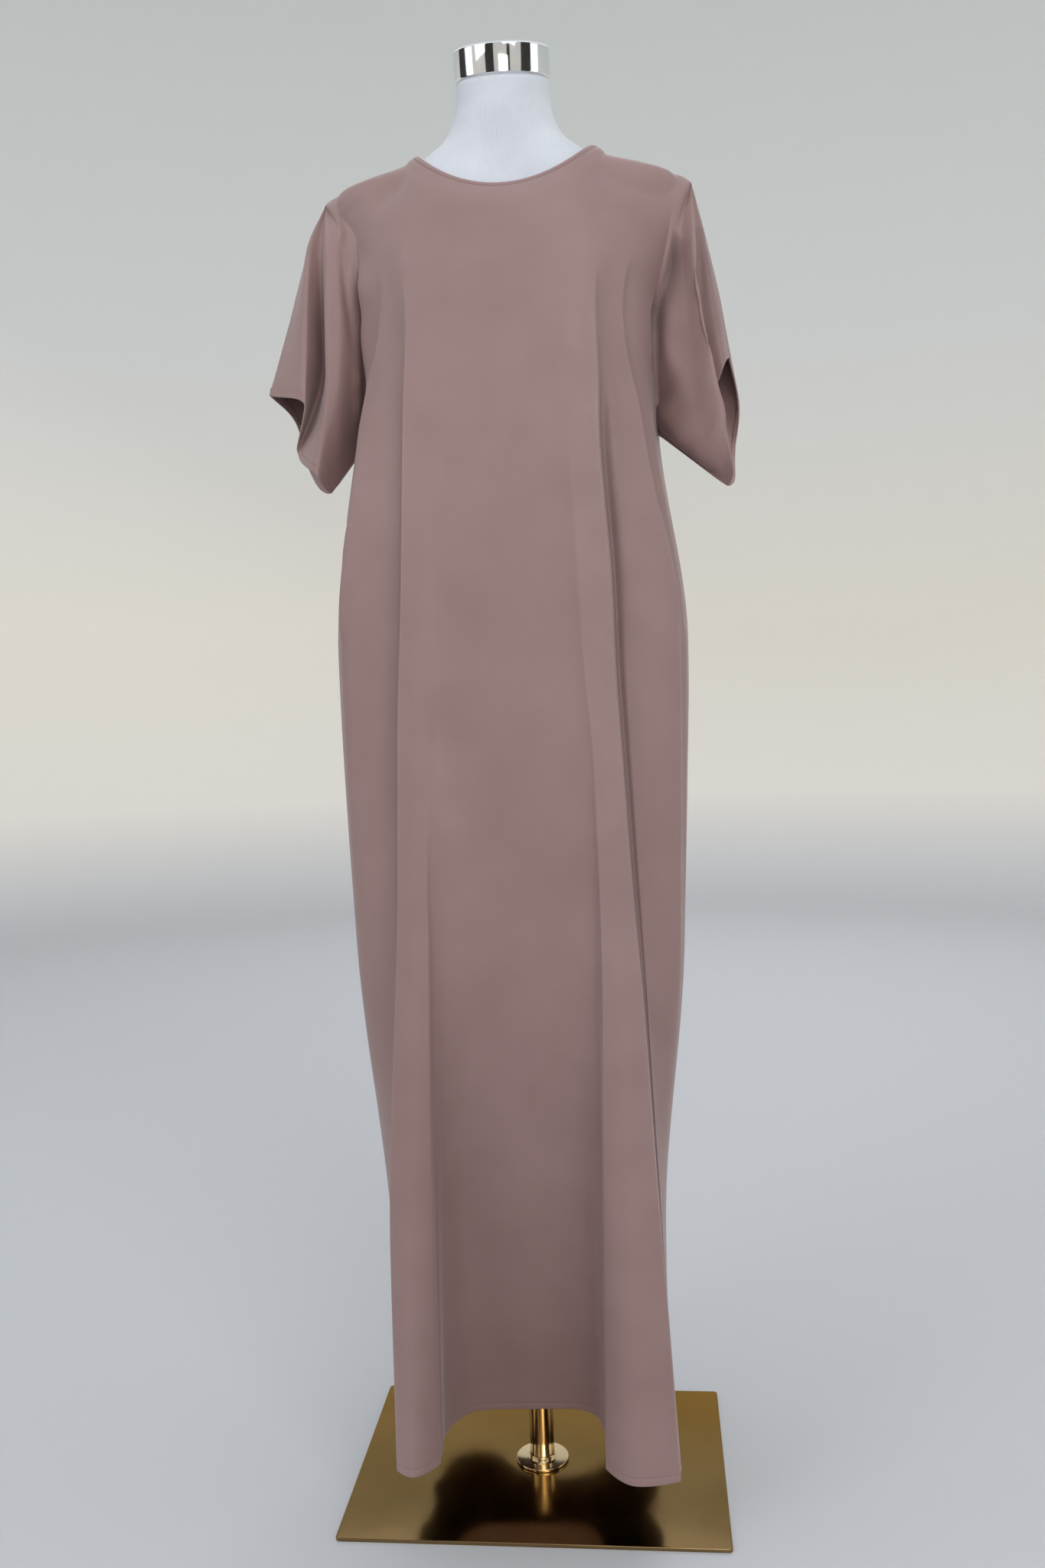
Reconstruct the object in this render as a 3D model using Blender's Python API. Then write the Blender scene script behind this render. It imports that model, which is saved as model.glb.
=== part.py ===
"""A long, loose, short-sleeved dress on a limbless dress form with a round pole and a flat base plate.

Lengths are in metres. The origin is the middle of the plate's underside, +Z is up and the front faces -Y.
"""

import math

import bpy
import numpy as np

for old in list(bpy.data.objects):
    bpy.data.objects.remove(old, do_unlink=True)

# Cloth
WALL = 0.0015
SEAM_SHIFT = 0.00017
LEAST_MITRE = 0.5
PINCH = 0.22
MITRE_ROUNDS = 14
MITRE_PULL = 0.12

# Heights of the sections that the folds are given at
HEM = 0.080
KNEE = 0.300
THIGH = 0.600
HIP = 0.900
ARMPIT = 1.120
BUST = 1.220
CHEST = 1.320
TOP = 1.395
SKIRT_HEIGHTS = (HEM, KNEE, THIGH, HIP, ARMPIT, BUST, CHEST)
SLEEVE_HEIGHTS = (ARMPIT, BUST, CHEST)
SIDE_SEAM_LEVELS = 5
SKIRT_ROWS = 15
YOKE_LEVELS = (ARMPIT, 1.147, 1.180, 1.215, 1.250, 1.285, CHEST, 1.345, 1.364, 1.377, 1.3855, 1.3910, TOP)
SLEEVE_LEVELS = (ARMPIT, 1.147, 1.180, 1.215, 1.250, 1.285, CHEST, 1.331, 1.342, 1.354, 1.366, 1.379, TOP)

# Fold lines of the front, from the left side seam to the right one, with x and y at each height
#  line            hem             knee            thigh           hip             armpit          bust            chest
FRONT_LINES = (
    ("side_left", -.132, .004, -.152, .003, -.179, .004, -.186, .006, -.157, -.005, -.150, -.030, -.152, -.040),
    ("flank_left", -.139, -.055, -.148, -.062, -.166, -.090, -.171, -.096, -.146, -.088, -.126, -.080, -.130, -.064),
    ("dip_left", -.131, -.118, -.131, -.120, -.127, -.122, -.117, -.125, -.108, -.119, -.102, -.107, -.112, -.078),
    ("crest_left", -.134, -.150, -.1335, -.147, -.1205, -.139, -.1065, -.140, -.0955, -.135, -.090, -.123, -.096, -.087),
    ("lobe_left", -.114, -.167, -.112, -.163, -.103, -.152, -.092, -.148, -.081, -.141, -.076, -.128, -.080, -.094),
    ("fall_left", -.091, -.140, -.088, -.148, -.082, -.149, -.070, -.150, -.062, -.143, -.058, -.132, -.060, -.100),
    ("wall_left", -.093, -.090, -.084, -.115, -.068, -.141, -.056, -.150, -.050, -.143, -.045, -.134, -.044, -.103),
    ("panel_left", -.072, -.046, -.066, -.090, -.048, -.137, -.038, -.150, -.032, -.143, -.028, -.135, -.028, -.105),
    ("centre", -.008, -.036, -.004, -.084, .002, -.136, .002, -.150, .001, -.143, .000, -.136, .000, -.106),
    ("panel_right", .056, -.040, .058, -.088, .055, -.138, .045, -.151, .036, -.143, .030, -.135, .030, -.105),
    ("wall_right", .074, -.085, .074, -.112, .071, -.144, .061, -.152, .052, -.143, .046, -.134, .045, -.103),
    ("fall_right", .075, -.138, .079, -.144, .082, -.152, .076, -.153, .066, -.143, .060, -.132, .062, -.100),
    ("lobe_right", .104, -.172, .103, -.165, .103, -.156, .092, -.151, .082, -.141, .078, -.128, .082, -.094),
    ("crest_right", .151, -.156, .138, -.152, .1235, -.145, .1080, -.142, .0965, -.136, .094, -.123, .099, -.087),
    ("dip_right", .140, -.112, .136, -.120, .129, -.127, .118, -.129, .110, -.123, .107, -.107, .118, -.078),
    ("flank_right", .141, -.050, .142, -.068, .163, -.098, .168, -.102, .138, -.094, .126, -.084, .144, -.060),
    ("side_right", .122, .006, .138, .008, .166, .010, .179, .012, .152, .000, .151, -.036, .168, -.034),
)
FRONT_STEPS = (3, 3, 2, 3, 2, 2, 2, 3, 3, 2, 2, 2, 3, 2, 3, 3)
SHOULDER_STEPS = 8

# Fold lines of the back, from the right side seam to the left one
BACK_LINES = (
    ("side_right", .122, .006, .138, .008, .166, .010, .179, .012, .152, .000, .156, .030, .168, .036),
    ("flank_right", .134, .060, .143, .060, .170, .062, .176, .062, .152, .048, .148, .054, .152, .058),
    ("ridge_right", .118, .136, .124, .132, .128, .124, .128, .114, .116, .092, .114, .088, .116, .084),
    ("blade_right", .082, .146, .088, .142, .092, .136, .086, .132, .076, .110, .074, .104, .076, .098),
    ("dip_right", .048, .098, .050, .108, .050, .124, .046, .134, .040, .118, .040, .108, .040, .103),
    ("centre", .002, .078, .002, .096, .001, .120, .000, .134, .000, .119, .000, .109, .000, .104),
    ("dip_left", -.044, .102, -.048, .110, -.050, .124, -.046, .134, -.040, .118, -.040, .108, -.040, .103),
    ("blade_left", -.086, .150, -.090, .144, -.092, .136, -.086, .132, -.076, .110, -.074, .104, -.076, .098),
    ("ridge_left", -.124, .130, -.130, .128, -.134, .122, -.132, .114, -.118, .092, -.114, .088, -.112, .084),
    ("flank_left", -.143, .058, -.154, .058, -.178, .060, -.182, .060, -.156, .046, -.148, .054, -.148, .058),
    ("side_left", -.132, .004, -.152, .003, -.179, .004, -.186, .006, -.157, -.005, -.154, .028, -.158, .036),
)
BACK_STEPS = (4, 4, 3, 2, 3, 3, 2, 3, 4, 4)

# Fold lines of the sleeves, from the overarm seam to the underarm, with x, y and z at three levels.
# Each level is one row of the sleeve: the lowest is the sleeve's hem, and its last point is the underarm corner.
#  line             hem                    bust                   chest
LEFT_SLEEVE_FRONT = (
    ("overarm", -.260, -.004, 1.179, -.241, -.002, 1.238, -.216, -.001, 1.318),
    ("lobe", -.216, -.050, 1.156, -.216, -.042, 1.224, -.209, -.030, 1.318),
    ("valley", -.232, -.012, 1.114, -.207, -.014, 1.205, -.199, -.023, 1.310),
    ("crest", -.201, -.058, 1.083, -.191, -.058, 1.188, -.186, -.046, 1.306),
    ("underarm", -.188, -.033, 1.069, -.174, -.046, 1.182, -.170, -.036, 1.312),
)
LEFT_SLEEVE_BACK = (
    ("overarm", -.260, -.004, 1.179, -.241, -.002, 1.238, -.216, -.001, 1.318),
    ("lobe", -.243, .034, 1.158, -.229, .034, 1.222, -.208, .034, 1.318),
    ("crest", -.228, .032, 1.105, -.200, .050, 1.196, -.188, .052, 1.310),
    ("underarm", -.188, -.033, 1.069, -.180, .036, 1.182, -.173, .043, 1.312),
)
RIGHT_SLEEVE_FRONT = (
    ("overarm", .229, .010, 1.198, .222, .008, 1.250, .207, .003, 1.318),
    ("lobe", .222, -.016, 1.184, .214, -.012, 1.238, .203, -.016, 1.314),
    ("valley", .206, -.012, 1.140, .198, -.012, 1.215, .196, -.018, 1.310),
    ("crest", .226, -.062, 1.072, .206, -.058, 1.186, .192, -.046, 1.300),
    ("underarm", .219, -.050, 1.056, .184, -.047, 1.176, .180, -.035, 1.304),
)
RIGHT_SLEEVE_BACK = (
    ("overarm", .229, .010, 1.198, .222, .008, 1.250, .207, .003, 1.318),
    ("lobe", .240, .032, 1.150, .225, .036, 1.222, .204, .034, 1.314),
    ("crest", .234, .036, 1.104, .200, .052, 1.190, .190, .052, 1.306),
    ("underarm", .219, -.050, 1.056, .186, .036, 1.176, .179, .043, 1.304),
)
SLEEVE_FRONT_STEPS = (3, 3, 3, 2, 2)
SLEEVE_BACK_STEPS = (3, 4, 3, 2)

# Shoulder seam: share of the way from its outer tip to the neck, and height
SHOULDER_TIP = (0.1920, 0.002)
SHOULDER_LINE = (
    (0.00, 1.3755),
    (0.08, 1.3810),
    (0.33, 1.3872),
    (0.70, 1.3960),
    (1.00, 1.4075),
)

# Neckline of the cut panels: an egg-shaped loop, low in front and a little nearer the right shoulder
NECK_MIDDLE = 0.0025
NECK_HALF_WIDTH = 0.0965
NECK_FRONT = 0.0850
NECK_BACK = 0.0690
NECK_TOP = 1.4075
NECK_FRONT_DROP = 0.0560
NECK_BACK_DROP = 0.0090
NECK_ROUND = 0.60
NECK_FALL = 1.6
NECK_SAMPLES = 200

# How steeply the cloth runs up into its upper edge, and how soon it turns that way
RISE_AT_SHOULDER = math.radians(14.0)
RISE_AT_NECK_SIDE = math.radians(14.0)
RISE_AT_FRONT = math.radians(50.0)
RISE_AT_BACK = math.radians(62.0)
EDGE_REACH = 0.75
EDGE_EVENING = 12

# Binding around the neckline
BINDING_WIDTH = 0.0062
BINDING_THICKNESS = 0.0019
BINDING_GAP = 0.0005
BINDING_EVENING = 3
BINDING_SECTION = (
    (0.12, -1.0),
    (0.0, -0.3),
    (0.0, 0.3),
    (0.12, 1.0),
    (0.90, 1.0),
    (1.0, 0.4),
    (1.0, -0.4),
    (0.90, -1.0),
)

# Dress form: height, half width, front, back and squareness of each section
FORM_SECTIONS = (
    (.7450, .1420, .0790, .0950, 2.2),
    (.7520, .1490, .0850, .1010, 2.2),
    (.8000, .1580, .0920, .1120, 2.2),
    (.8800, .1620, .0980, .1180, 2.2),
    (.9600, .1400, .0880, .0980, 2.2),
    (1.0300, .1180, .0820, .0760, 2.2),
    (1.1000, .1240, .0980, .0760, 2.2),
    (1.1600, .1360, .1150, .0820, 2.2),
    (1.2000, .1410, .1180, .0860, 2.2),
    (1.2600, .1460, .1040, .0900, 2.2),
    (1.3100, .1560, .0880, .0900, 2.2),
    (1.3500, .1735, .0715, .0830, 2.2),
    (1.3660, .1765, .0650, .0755, 2.2),
    (1.3720, .1755, .0620, .0715, 2.2),
    (1.3775, .1715, .0595, .0680, 2.2),
    (1.3835, .1550, .0570, .0642, 2.2),
    (1.3915, .1250, .0540, .0600, 2.1),
    (1.3985, .1050, .0515, .0570, 2.1),
    (1.4060, .0900, .0495, .0550, 2.1),
    (1.4150, .0775, .0487, .0530, 2.0),
    (1.4230, .0665, .0485, .0515, 2.0),
    (1.4330, .0590, .0485, .0507, 2.0),
    (1.4470, .0530, .0485, .0495, 2.0),
    (1.4620, .0495, .0485, .0488, 2.0),
    (1.4870, .0485, .0485, .0485, 2.0),
)
FORM_SIDES = 36
FORM_EASE = 0.0038
FORM_RISE = 0.0026

# Neck cap, tilted forward with the neck's top
CAP_TILT = math.radians(15.0)
CAP_FROM = 1.447
CAP_RADIUS = 0.0500
CAP_HEIGHT = 0.0300
CAP_ROUND = 0.0035
CAP_GAP = 0.0003
CAP_SIDES = 40

# Pole, flange and base plate
PLATE_WIDTH = 0.400
PLATE_DEPTH = 0.300
PLATE_THICKNESS = 0.004
PLATE_CORNER = 0.004
PLATE_EDGE = 0.0006
FLANGE_RADIUS = 0.0288
FLANGE_HEIGHT = 0.0030
COLLAR_RADIUS = 0.0162
COLLAR_HEIGHT = 0.0060
POLE_RADIUS = 0.0135
POLE_HEAD_RADIUS = 0.0320
POLE_HEAD_HEIGHT = 0.0060
POLE_NECK_DROP = 0.0140
ROUND_SIDES = 40
SEAT_GAP = 0.0003


def material(name, colour, roughness, metallic):
    """A plain surface colour for one kind of piece."""
    made = bpy.data.materials.new(name)
    made.use_nodes = True
    shader = made.node_tree.nodes["Principled BSDF"]
    shader.inputs["Base Color"].default_value = (*colour, 1.0)
    shader.inputs["Roughness"].default_value = roughness
    shader.inputs["Metallic"].default_value = metallic
    return made


def solid(name, points, faces, made_of, smooth=True):
    """One mesh object with outward faces."""
    volume = 0.0
    for face in faces:
        corners = [np.asarray(points[c], float) for c in face]
        for b, c in zip(corners[1:], corners[2:]):
            volume += float(np.dot(corners[0], np.cross(b, c)))
    if volume < 0:
        faces = [list(reversed(face)) for face in faces]
    mesh = bpy.data.meshes.new(name)
    mesh.from_pydata([tuple(p) for p in points], [], [tuple(f) for f in faces])
    mesh.materials.append(made_of)
    for face in mesh.polygons:
        face.use_smooth = smooth
    made = bpy.data.objects.new(name, mesh)
    bpy.context.scene.collection.objects.link(made)
    return made


def track(knots, values, at):
    """A smooth line through the values that doesn't swing past them between two knots."""
    knots = np.asarray(knots, float)
    values = np.asarray(values, float)
    step = np.diff(knots)
    rise = np.diff(values) / step
    slope = np.empty(len(knots))
    slope[0] = rise[0]
    slope[-1] = rise[-1]
    for k in range(1, len(knots) - 1):
        if rise[k - 1] * rise[k] <= 0:
            slope[k] = 0.0
        else:
            before = 2 * step[k] + step[k - 1]
            after = step[k] + 2 * step[k - 1]
            slope[k] = (before + after) / (before / rise[k - 1] + after / rise[k])
    at = min(max(at, knots[0]), knots[-1])
    k = min(int(np.searchsorted(knots, at, side="right")) - 1, len(step) - 1)
    t = (at - knots[k]) / step[k]
    return (
        (1 + 2 * t) * (1 - t) ** 2 * values[k]
        + t * (1 - t) ** 2 * step[k] * slope[k]
        + t * t * (3 - 2 * t) * values[k + 1]
        + t * t * (t - 1) * step[k] * slope[k + 1]
    )


def curve_through(points, steps):
    """Points on a smooth curve through the given ones, with a number of steps for each stretch."""
    points = [np.asarray(p, float) for p in points]
    gaps = [max(float(np.linalg.norm(b - a)), 1e-9) ** 0.5 for a, b in zip(points, points[1:])]
    slopes = []
    for k, point in enumerate(points):
        if k == 0:
            slopes.append((points[1] - point) / gaps[0])
        elif k == len(points) - 1:
            slopes.append((point - points[-2]) / gaps[-1])
        else:
            before = (point - points[k - 1]) / gaps[k - 1]
            after = (points[k + 1] - point) / gaps[k]
            slopes.append((before * gaps[k] + after * gaps[k - 1]) / (gaps[k] + gaps[k - 1]))
    made = [points[0]]
    for k, count in enumerate(steps):
        for i in range(1, count + 1):
            t = i / count
            made.append(
                (1 + 2 * t) * (1 - t) ** 2 * points[k]
                + t * (1 - t) ** 2 * gaps[k] * slopes[k]
                + t * t * (3 - 2 * t) * points[k + 1]
                + t * t * (t - 1) * gaps[k] * slopes[k + 1]
            )
    return made


def form_section(height):
    """Half width, front, back and squareness of the dress form at a height."""
    heights = [row[0] for row in FORM_SECTIONS]
    return [track(heights, [row[k] for row in FORM_SECTIONS], height) for k in (1, 2, 3, 4)]


def settled(point, front):
    """The point, moved out where it would lie in the dress form."""
    x, y, z = point
    for height in (z, z - FORM_RISE):
        half, ahead, behind, power = form_section(height)
        reach = 1 - (abs(x) / (half + FORM_EASE)) ** power
        if z > FORM_SECTIONS[-1][0] or reach <= 0:
            continue
        if front:
            y = min(y, -(ahead + FORM_EASE) * reach ** (1 / power))
        else:
            y = max(y, (behind + FORM_EASE) * reach ** (1 / power))
    return np.array((x, y, z))


def shoulder_point(side, share):
    """A point on the shoulder seam: 0 at the outer tip, 1 at the neck."""
    height = track([row[0] for row in SHOULDER_LINE], [row[1] for row in SHOULDER_LINE], share)
    tip = side * SHOULDER_TIP[0]
    neck = NECK_MIDDLE + side * NECK_HALF_WIDTH
    return np.array((tip + (neck - tip) * share, SHOULDER_TIP[1] * (1 - share), height))


def neck_point(turn):
    """A point on the neckline: turn 0 is centre front, a quarter turn is the right shoulder, half is centre back."""
    angle = 2 * math.pi * turn
    ahead = math.cos(angle)
    across = math.sin(angle)
    reach = NECK_FRONT if ahead > 0 else NECK_BACK
    drop = NECK_FRONT_DROP if ahead > 0 else NECK_BACK_DROP
    depth = abs(ahead) ** NECK_ROUND
    return np.array(
        (
            NECK_MIDDLE + NECK_HALF_WIDTH * across,
            -math.copysign(reach * depth, ahead),
            NECK_TOP - drop * abs(ahead) ** NECK_FALL,
        )
    )


def even_turns(first, last, count):
    """Turns that part the neckline into even lengths."""
    fine = [first + (last - first) * i / NECK_SAMPLES for i in range(NECK_SAMPLES + 1)]
    places = [neck_point(turn) for turn in fine]
    lengths = [0.0]
    for a, b in zip(places, places[1:]):
        lengths.append(lengths[-1] + float(np.linalg.norm(b - a)))
    return [float(np.interp(lengths[-1] * k / count, lengths, fine)) for k in range(count + 1)]


def neck_way(turn, front):
    """The way that the cloth runs up into the neckline at a turn."""
    ahead = neck_point(turn + 0.002) - neck_point(turn - 0.002)
    inward = np.array((-ahead[1], ahead[0]))
    inward /= np.linalg.norm(inward)
    low = abs(math.cos(2 * math.pi * turn))
    rise = RISE_AT_NECK_SIDE + ((RISE_AT_FRONT if front else RISE_AT_BACK) - RISE_AT_NECK_SIDE) * low
    return np.array((inward[0] * math.cos(rise), inward[1] * math.cos(rise), math.sin(rise)))


def top_points(front, steps):
    """The panel's upper edge, from one shoulder tip along the neckline to the other, and the cloth's way into it."""
    across = sum(steps) - 2 * SHOULDER_STEPS
    first = -1 if front else 1
    over = np.array((0.0, -first * math.cos(RISE_AT_SHOULDER), math.sin(RISE_AT_SHOULDER)))
    turns = even_turns(-0.25 if front else 0.25, 0.25 if front else 0.75, across)
    points = [shoulder_point(first, i / SHOULDER_STEPS) for i in range(SHOULDER_STEPS + 1)]
    points += [neck_point(turn) for turn in turns[1:-1]]
    points += [shoulder_point(-first, 1 - i / SHOULDER_STEPS) for i in range(SHOULDER_STEPS + 1)]
    ways = [over] * SHOULDER_STEPS + [neck_way(turn, front) for turn in turns] + [over] * SHOULDER_STEPS
    for _ in range(EDGE_EVENING):
        between = [ways[k - 1] + ways[k] * 2 + ways[k + 1] for k in range(1, len(ways) - 1)]
        ways = [ways[0]] + [way / np.linalg.norm(way) for way in between] + [ways[-1]]
    return points, ways


def skirt_row(lines, steps, height):
    """The body's own part of a row at one height."""
    guides = []
    for line in lines:
        below = line in (lines[0], lines[-1]) and height <= ARMPIT
        knots = SKIRT_HEIGHTS[:SIDE_SEAM_LEVELS] if below else SKIRT_HEIGHTS
        x = track(knots, line[1::2][: len(knots)], height)
        y = track(knots, line[2::2][: len(knots)], height)
        guides.append((x, y, height))
    return curve_through(guides, steps)


def sleeve_guides(lines, level, tip):
    """The sleeve's fold lines at one level, drawn together towards the shoulder tip."""
    guides = []
    for line in lines:
        knots = (*SLEEVE_HEIGHTS, TOP)
        guides.append(
            np.array([track(knots, (line[k], line[k + 3], line[k + 6], tip[k - 1]), level) for k in (1, 2, 3)])
        )
    return guides


def blend_to_top(low, high, ways, share):
    """A row between the chest and the upper edge, which runs into the edge the given ways."""
    made = []
    for a, b, way in zip(low, high, ways):
        reach = EDGE_REACH * float(np.linalg.norm(b - a))
        made.append(
            (1 + 2 * share) * (1 - share) ** 2 * a
            + share * (1 - share) ** 2 * np.array((0.0, 0.0, reach))
            + share * share * (3 - 2 * share) * b
            + share * share * (share - 1) * reach * way
        )
    return made


def panel_rows(front):
    """All the rows of one panel, from the hem up. Rows above the armpit go on into both sleeves."""
    lines = FRONT_LINES if front else BACK_LINES
    steps = FRONT_STEPS if front else BACK_STEPS
    sleeve_steps = SLEEVE_FRONT_STEPS if front else SLEEVE_BACK_STEPS
    rows = []
    for k in range(SKIRT_ROWS):
        height = HEM + (ARMPIT - HEM) * k / SKIRT_ROWS
        rows.append(("skirt", skirt_row(lines, steps, height)))
    edge, ways = top_points(front, steps)
    first = (LEFT_SLEEVE_FRONT, -1) if front else (RIGHT_SLEEVE_BACK, 1)
    last = (RIGHT_SLEEVE_FRONT, 1) if front else (LEFT_SLEEVE_BACK, -1)
    chest = skirt_row(lines, steps, CHEST)
    for level, sleeve_level in zip(YOKE_LEVELS, SLEEVE_LEVELS):
        if level <= CHEST:
            body = skirt_row(lines, steps, level)
        else:
            body = blend_to_top(chest, edge, ways, (level - CHEST) / (TOP - CHEST))
        body = [settled(p, front) for p in body]
        if level == TOP:
            body = edge
        start = sleeve_guides(first[0], sleeve_level, shoulder_point(first[1], 0.0))
        end = sleeve_guides(last[0], sleeve_level, shoulder_point(last[1], 0.0))
        left = curve_through([*start, body[0]], sleeve_steps)
        right = curve_through([body[-1], *end[::-1]], sleeve_steps[::-1])
        if level == ARMPIT:
            straight = sleeve_steps[-1]
            for i in range(straight + 1):
                share = i / straight
                left[-1 - i] = body[0] + (start[-1] - body[0]) * share
                right[i] = body[-1] + (end[-1] - body[-1]) * share
        rows.append(("yoke", [*left[:-1], *body, *right[1:]]))
    return rows


class Surface:
    """One sheet surface made of points that both panels share at their seams."""

    def __init__(self):
        self.points = []
        self.found = {}
        self.faces = {"front": [], "back": []}

    def add(self, point):
        key = tuple(round(float(c) * 2e5) for c in point)
        if key not in self.found:
            self.found[key] = len(self.points)
            self.points.append(np.asarray(point, float))
        return self.found[key]

    def add_rows(self, which, rows):
        lead = (len(rows[-1][1]) - len(rows[0][1])) // 2
        made = []
        for kind, row in rows:
            index = [self.add(p) for p in row]
            made.append(index if kind == "yoke" else [None] * lead + index + [None] * lead)
        for low, high in zip(made, made[1:]):
            for k in range(len(low) - 1):
                corners = [low[k], low[k + 1], high[k + 1], high[k]]
                if None in corners:
                    continue
                face = [c for i, c in enumerate(corners) if c != corners[i - 1]]
                if len(face) > 2:
                    self.faces[which].append(face)

    def seam_ways(self, normals):
        """For each point on a seam, the way straight across it from the back panel into the front one."""
        inward = {}
        along = {}
        sides = [{c for face in self.faces[which] for c in face} for which in ("front", "back")]
        shared = sides[0] & sides[1]
        for sign, which in ((1, "front"), (-1, "back")):
            for face in self.faces[which]:
                middle = np.mean([self.points[c] for c in face], axis=0)
                for i, c in enumerate(face):
                    if c not in shared:
                        continue
                    way = middle - self.points[c]
                    inward[c] = inward.get(c, np.zeros(3)) + sign * way / np.linalg.norm(way)
                    for n in (face[i - 1], face[(i + 1) % len(face)]):
                        if n in shared:
                            step = self.points[n] - self.points[c]
                            step *= math.copysign(1.0, step.dot(along.get(c, step)))
                            along[c] = along.get(c, np.zeros(3)) + step
        for c, way in inward.items():
            for axis in (along.get(c, normals[c]), normals[c]):
                axis = axis / np.linalg.norm(axis)
                way = way - axis * way.dot(axis)
            inward[c] = way / np.linalg.norm(way)
        return inward

    def normals(self):
        """For each point the way out that suits all its faces best, and how squarely it leaves them."""
        around = [[] for _ in self.points]
        for face in self.faces["front"] + self.faces["back"]:
            corners = [self.points[c] for c in face]
            area = np.zeros(3)
            for a, b in zip(corners[1:], corners[2:]):
                area += np.cross(a - corners[0], b - corners[0])
            area /= np.linalg.norm(area)
            for c in face:
                around[c].append(area)
        ways = []
        mitres = []
        for found in around:
            way = np.sum(found, axis=0)
            way /= np.linalg.norm(way)
            for _ in range(MITRE_ROUNDS):
                way = way + MITRE_PULL * min(found, key=lambda n: float(n.dot(way)))
                way /= np.linalg.norm(way)
            ways.append(way)
            least = min(float(n.dot(way)) for n in found)
            mitres.append(1.0 if least < PINCH else max(least, LEAST_MITRE))
        return np.array(ways), mitres


def panel_solid(surface, which, made_of):
    """A wall of even thickness on one panel's faces, drawn back a little at the seams."""
    faces = surface.faces[which]
    own = sorted({c for face in faces for c in face})
    normals, mitres = surface.normals()
    across = surface.seam_ways(normals)
    shift = SEAM_SHIFT if which == "front" else -SEAM_SHIFT
    outer = {}
    inner = {}
    for c in own:
        point = surface.points[c].copy()
        if c in across:
            point += shift * across[c]
        outer[c] = point
        inner[c] = point - WALL / mitres[c] * normals[c]
    index = {c: i for i, c in enumerate(own)}
    count = len(own)
    points = [outer[c] for c in own] + [inner[c] for c in own]
    made = []
    edges = {}
    for face in faces:
        made.append([index[c] for c in face])
        made.append([index[c] + count for c in reversed(face)])
        for i, c in enumerate(face):
            ends = (face[i - 1], c)
            edges[ends] = edges.get(ends, 0) + 1
    for a, b in edges:
        if (b, a) not in edges:
            strip = [index[b], index[a], index[a] + count, index[b] + count]
            turn = 0 if a < b else 1
            made.append([strip[turn], strip[turn + 1], strip[turn + 2]])
            made.append([strip[turn], strip[turn + 2], strip[(turn + 3) % 4]])
    return solid("dress_" + which, points, made, made_of)


def ring_solid(name, rings, made_of, smooth=True, closed=False):
    """A body through closed rings. Its ends are flat unless the rings themselves run round to the start."""
    sides = len(rings[0])
    points = [p for ring in rings for p in ring]
    faces = []
    count = len(rings)
    for k in range(count if closed else count - 1):
        low = k * sides
        high = ((k + 1) % count) * sides
        for i in range(sides):
            j = (i + 1) % sides
            faces.append([low + i, low + j, high + j, high + i])
    if not closed:
        faces.append(list(range(sides))[::-1])
        faces.append([(count - 1) * sides + i for i in range(sides)])
    return solid(name, points, faces, made_of, smooth)


def round_rings(profile, sides):
    """Rings round the upright axis from pairs of radius and height."""
    return [
        [
            (r * math.cos(2 * math.pi * i / sides), r * math.sin(2 * math.pi * i / sides), z)
            for i in range(sides)
        ]
        for r, z in profile
    ]


def tilt(point, height):
    """Leans a point of the neck's top forward about the height given, more and more from the neck's middle up."""
    x, y, z = point
    share = min(max((z - CAP_FROM) / (height - CAP_FROM), 0.0), 1.0)
    return (x, y, z + share * math.tan(CAP_TILT) * y)


# Dress form
def form_rings():
    top = FORM_SECTIONS[-1][0]
    rings = []
    for height, half, ahead, behind, power in FORM_SECTIONS:
        ring = []
        for i in range(FORM_SIDES):
            angle = 2 * math.pi * i / FORM_SIDES
            c = math.cos(angle)
            s = math.sin(angle)
            x = half * math.copysign(abs(c) ** (2 / power), c)
            y = (behind if s > 0 else ahead) * math.copysign(abs(s) ** (2 / power), s)
            ring.append(tilt((x, y, height), top))
        rings.append(ring)
    return rings


def cap_rings():
    top = FORM_SECTIONS[-1][0]
    lean_y = -math.sin(CAP_TILT)
    lean_z = math.cos(CAP_TILT)
    profile = [(CAP_RADIUS - CAP_ROUND / 3, 0.0), (CAP_RADIUS, CAP_ROUND / 3), (CAP_RADIUS, CAP_HEIGHT - CAP_ROUND)]
    for k in (1, 2, 3):
        angle = math.pi / 2 * k / 3
        profile.append(
            (CAP_RADIUS - CAP_ROUND * (1 - math.cos(angle)), CAP_HEIGHT - CAP_ROUND * (1 - math.sin(angle)))
        )
    rings = []
    for radius, rise in profile:
        ring = []
        for i in range(CAP_SIDES):
            angle = 2 * math.pi * i / CAP_SIDES
            x = radius * math.cos(angle)
            y = radius * math.sin(angle)
            up = CAP_GAP + rise
            ring.append((x, y * lean_z + up * lean_y, top + up * lean_z - y * lean_y))
        rings.append(ring)
    return rings


def neck_edge(surface, rows, front):
    """The neckline points of one panel, with the way that the cloth runs up to each."""
    made = []
    steps = FRONT_STEPS if front else BACK_STEPS
    sleeve = sum(SLEEVE_FRONT_STEPS if front else SLEEVE_BACK_STEPS)
    for k in range(sleeve + SHOULDER_STEPS, sleeve + sum(steps) - SHOULDER_STEPS):
        made.append((surface.add(rows[-1][1][k]), surface.add(rows[-2][1][k])))
    return made


def evened(ways, rounds):
    """Directions round a closed loop, each drawn towards its two neighbours."""
    for _ in range(rounds):
        ways = [w * 2 + ways[k - 1] + ways[(k + 1) % len(ways)] for k, w in enumerate(ways)]
        ways = [w / np.linalg.norm(w) for w in ways]
    return ways


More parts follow.
